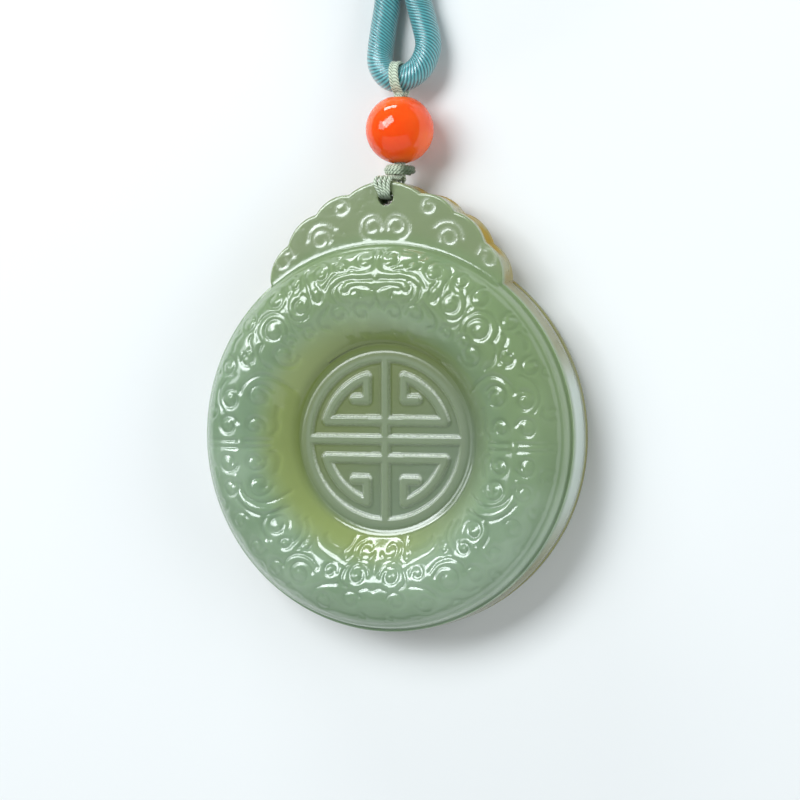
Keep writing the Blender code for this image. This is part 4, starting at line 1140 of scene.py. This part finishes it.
def coil(level):
    """One layer of the coil from its outer turn in, without its first point, then the tail that winds
    on to the knot: the radius shrinks by one pitch a turn, then eases down to the tail's."""
    x, y, turn = coil_middle()
    entry = math.degrees(turn) - 180
    share = np.linspace(0, 1, int(COIL_TURNS * 48) + 1)[1:]
    angle = np.radians(entry - 360 * COIL_TURNS * share)
    radius = COIL_OUTER_TURN - COIL_TURNS * CORD_PITCH * share
    height = np.full_like(share, CORD_RADIUS + level * CORD_PITCH)
    tail = np.linspace(0, 1, 8)[1:]
    tail_angle = np.radians(entry - 360 * COIL_TURNS - COIL_TAIL_DEGREES * tail)
    tail_radius = COIL_INNER_TURN + (COIL_TAIL_RADIUS - COIL_INNER_TURN) * ease(tail)
    tail_height = CORD_RADIUS + level * CORD_PITCH + END_KNOT_WALL * tail
    angle, radius = np.append(angle, tail_angle), np.append(radius, tail_radius)
    height = np.append(height, tail_height)
    return np.stack([x + radius * np.cos(angle), y + radius * np.sin(angle), height], axis=1)


def cord_route():
    """The whole neck cord from its knot: top layer out, right arm, eye, left arm, bottom layer in."""
    lift = EYE_BOTTOM[2] - CORD_RADIUS
    eye = [(EYE_OFFSET + x, EYE_BOTTOM[1] + y, CORD_RADIUS + share * lift) for x, y, share in EYE_POINTS]
    return np.vstack([coil(1)[::-1], arm(1)[::-1], eye, arm(-1), coil(0)])


def thread_turns(tree, settings, place, scale, distortion, detail_scale):
    """The wrapping thread's turns across X as a height, and their colour, with painted shade dark between
    two turns.
    """
    turns = node(tree, "ShaderNodeTexWave",
                 {"Vector": place, "Scale": scale, "Distortion": distortion, "Detail": 2.0,
                  "Detail Scale": detail_scale}, bands_direction="X", wave_profile="SIN").outputs["Fac"]
    return turns, mixed(tree, ramp(tree, turns, 0.1, 0.8), settings.dark, settings.pale)


def cord_material(settings):
    """Cord wrapped in fine shiny thread. The eye gets close oblique turns of thread, bright on their backs
    and dark between, as painted shade, and a silky sheen along the cord."""
    made, tree, shader = new_material(
        "Thread-wrapped cord", Roughness=0.32, IOR=1.6, Specular_IOR_Level=1.0, Coat_Weight=1.0,
        Coat_Roughness=0.3, Sheen_Weight=0.3)
    lie = node(tree, "ShaderNodeUVMap", uv_map="length").outputs[0]
    turns, tone = thread_turns(tree, settings, lie, 1.0, 1.1, 2.0)
    height = node(tree, "ShaderNodeMath", {0: noise(tree, lie, 6.0, 2.0), 1: 0.6, 2: turns},
                  operation="MULTIPLY_ADD").outputs[0]
    normal = bumped(tree, height, 0.6, settings.wrap * 0.3)
    feed(tree, shader, Base_Color=tone, Normal=normal, Coat_Normal=normal)
    return made


def knot_material(settings):
    """The same wrapped cord pulled tight in a knot. The eye gets its turns of thread as close oblique
    lines."""
    made, tree, shader = new_material("Knotted cord", Roughness=0.32, Sheen_Weight=0.3)
    place = node(tree, "ShaderNodeTexCoord").outputs["Object"]
    turn = (0.0, 0.0, -math.radians(KNOT_HEADING))
    along_knot = node(tree, "ShaderNodeMapping", {"Vector": place, "Rotation": turn}).outputs[0]
    turns, tone = thread_turns(tree, settings, along_knot, WAVE_PERIOD / settings.wrap, 1.2, 1.0)
    feed(tree, shader, Base_Color=tone, Normal=bumped(tree, turns, 0.9, settings.wrap * 0.3))
    return made


def wrap_uv(along, sides, wrap, lean):
    """For each corner of each face of a wrapped tube: the number of thread turns along it, leaning
    round the tube, in units in which the wave texture repeats, and four times the share round it."""
    row, column = np.meshgrid(np.arange(len(along) - 1), np.arange(sides), indexing="ij")
    corners = []
    for next_row, next_column in ((0, 0), (0, 1), (1, 1), (1, 0)):
        share = (column + next_column) / sides
        turns = along[row + next_row] / wrap + lean * share
        corners.append(np.stack([turns * WAVE_PERIOD, share * 4], axis=-1))
    return np.stack(corners, axis=2).reshape(-1, 4, 2)


class OBJECT_OT_pendant_cord(bpy.types.Operator):
    """Lay the wrapped neck cord through the thread's loop, with its spare length in a flat coil"""

    bl_idname = "object.pendant_cord"
    bl_label = "Neck cord"

    def execute(self, context):
        settings = context.scene.pendant_cord
        path = smooth(cord_route(), CORD_STEP)
        grid, along = tube(path, CORD_RADIUS, CORD_SIDES, (0.0, 0.0, 1.0))
        uv = wrap_uv(along, CORD_SIDES, settings.wrap, settings.lean)
        end_uv = np.zeros((CORD_SIDES, 4, 2))
        points, faces = closed_tube(grid)
        made = piece("wrapped_neck_cord", points, faces, cord_material(settings),
                     np.concatenate([end_uv, uv, end_uv]))
        ride_and_slot(made, "cord", "neck_cord", "neck_cord_end_1", "neck_cord_end_2", "neck_cord_coil")
        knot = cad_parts["neck_cord_knot"]
        knot.data.materials.clear()
        knot.data.materials.append(knot_material(settings))
        return {"FINISHED"}


def placed(data, place, right, above, away):
    """An object for a light or camera at a place, which looks away from the direction called away."""
    made = bpy.data.objects.new(data.name, data)
    bpy.context.scene.collection.objects.link(made)
    turn = Matrix(np.column_stack([right, above, away]).tolist())
    made.matrix_world = Matrix.Translation(place) @ turn.to_4x4()
    return made


def soft_light(name, place, size, power):
    """A flat soft light at a place that faces the pendant."""
    data = bpy.data.lights.new(name, "AREA")
    data.shape = "RECTANGLE"
    data.size, data.size_y = size
    data.energy = power
    data.color = linear(LIGHT_COLOUR)[:3]
    away = np.array(place) / np.linalg.norm(place)
    right = np.cross((0.0, 0.0, 1.0), away)
    right /= np.linalg.norm(right)
    placed(data, place, right, np.cross(away, right), away).visible_glossy = name != UNREFLECTED_LIGHT


def camera():
    """The camera at the photograph's angle: leaning right and up from straight above the face."""
    lean, up, roll = (math.radians(angle) for angle in (CAMERA_LEAN_RIGHT, CAMERA_LEAN_UP, CAMERA_ROLL))
    away = np.array([math.sin(lean) * math.cos(up), math.sin(up), math.cos(lean) * math.cos(up)])
    right = np.array([math.cos(lean), 0.0, -math.sin(lean)])
    above = np.cross(away, right)
    right, above = (math.cos(roll) * right + math.sin(roll) * above,
                    math.cos(roll) * above - math.sin(roll) * right)
    place = CAMERA_DISTANCE * away + CAMERA_ASIDE * right + CAMERA_ABOVE * above + (0, 0, FACE_HEIGHT)
    data = bpy.data.cameras.new("Camera")
    data.lens = CAMERA_LENS
    data.sensor_width = CAMERA_SENSOR
    data.clip_start = 0.01
    bpy.context.scene.camera = placed(data, place, right, above, away)


def floor_material(colour):
    """Matt paper-covered board. The eye gets a plain, pale ground without gloss."""
    return new_material("Matt pale board", Base_Color=colour, Roughness=0.8)[0]


class OBJECT_OT_pendant_stage(bpy.types.Operator):
    """Add the plain floor, the soft lights and the camera"""

    bl_idname = "object.pendant_stage"
    bl_label = "Stage"

    def execute(self, context):
        settings = context.scene.pendant_stage
        corners = FLOOR_HALF * np.array([(-1, -1, 0), (1, -1, 0), (1, 1, 0), (-1, 1, 0)])
        floor = piece("floor", corners, np.array([[0, 1, 2, 3]]), floor_material(settings.floor))
        for name, power, place, size in LIGHTS:
            soft_light(name, place, size, getattr(settings, power))
        room = bpy.data.worlds.new("Room")
        room.use_nodes = True
        back = room.node_tree.nodes["Background"]
        back.inputs["Color"].default_value = linear(ROOM_COLOUR)
        back.inputs["Strength"].default_value = settings.room
        context.scene.view_settings.view_transform = "Standard"
        context.scene.world = room
        camera()
        return {"FINISHED"}


class VIEW3D_PT_pendant(bpy.types.Panel):
    """The pendant's steps in the 3D view's sidebar"""

    bl_idname = "VIEW3D_PT_pendant"
    bl_label = "Pendant"
    bl_space_type = "VIEW_3D"
    bl_region_type = "UI"
    bl_category = "Pendant"

    def draw(self, context):
        for step in STEPS:
            self.layout.operator(step.bl_idname)


STEPS = (OBJECT_OT_pendant_stage, OBJECT_OT_pendant_jade, OBJECT_OT_pendant_thread, OBJECT_OT_pendant_knot,
         OBJECT_OT_pendant_bead, OBJECT_OT_pendant_cord)
SETTINGS = {"pendant_jade": JadeSettings, "pendant_thread": ThreadSettings, "pendant_bead": BeadSettings,
            "pendant_cord": CordSettings, "pendant_stage": StageSettings}


def register():
    """Register every class and give the scene its settings."""
    for name, group in SETTINGS.items():
        bpy.utils.register_class(group)
        setattr(bpy.types.Scene, name, bpy.props.PointerProperty(type=group))
    for step in (*STEPS, VIEW3D_PT_pendant):
        bpy.utils.register_class(step)


def unregister():
    """Undo register."""
    for step in (VIEW3D_PT_pendant, *reversed(STEPS)):
        bpy.utils.unregister_class(step)
    for name, group in SETTINGS.items():
        delattr(bpy.types.Scene, name)
        bpy.utils.unregister_class(group)


def main():
    """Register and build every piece."""
    register()
    bpy.ops.object.pendant_stage()
    bpy.ops.object.pendant_jade()
    bpy.ops.object.pendant_thread()
    bpy.ops.object.pendant_knot()
    bpy.ops.object.pendant_bead()
    bpy.ops.object.pendant_cord()


if __name__ == "__main__":
    main()
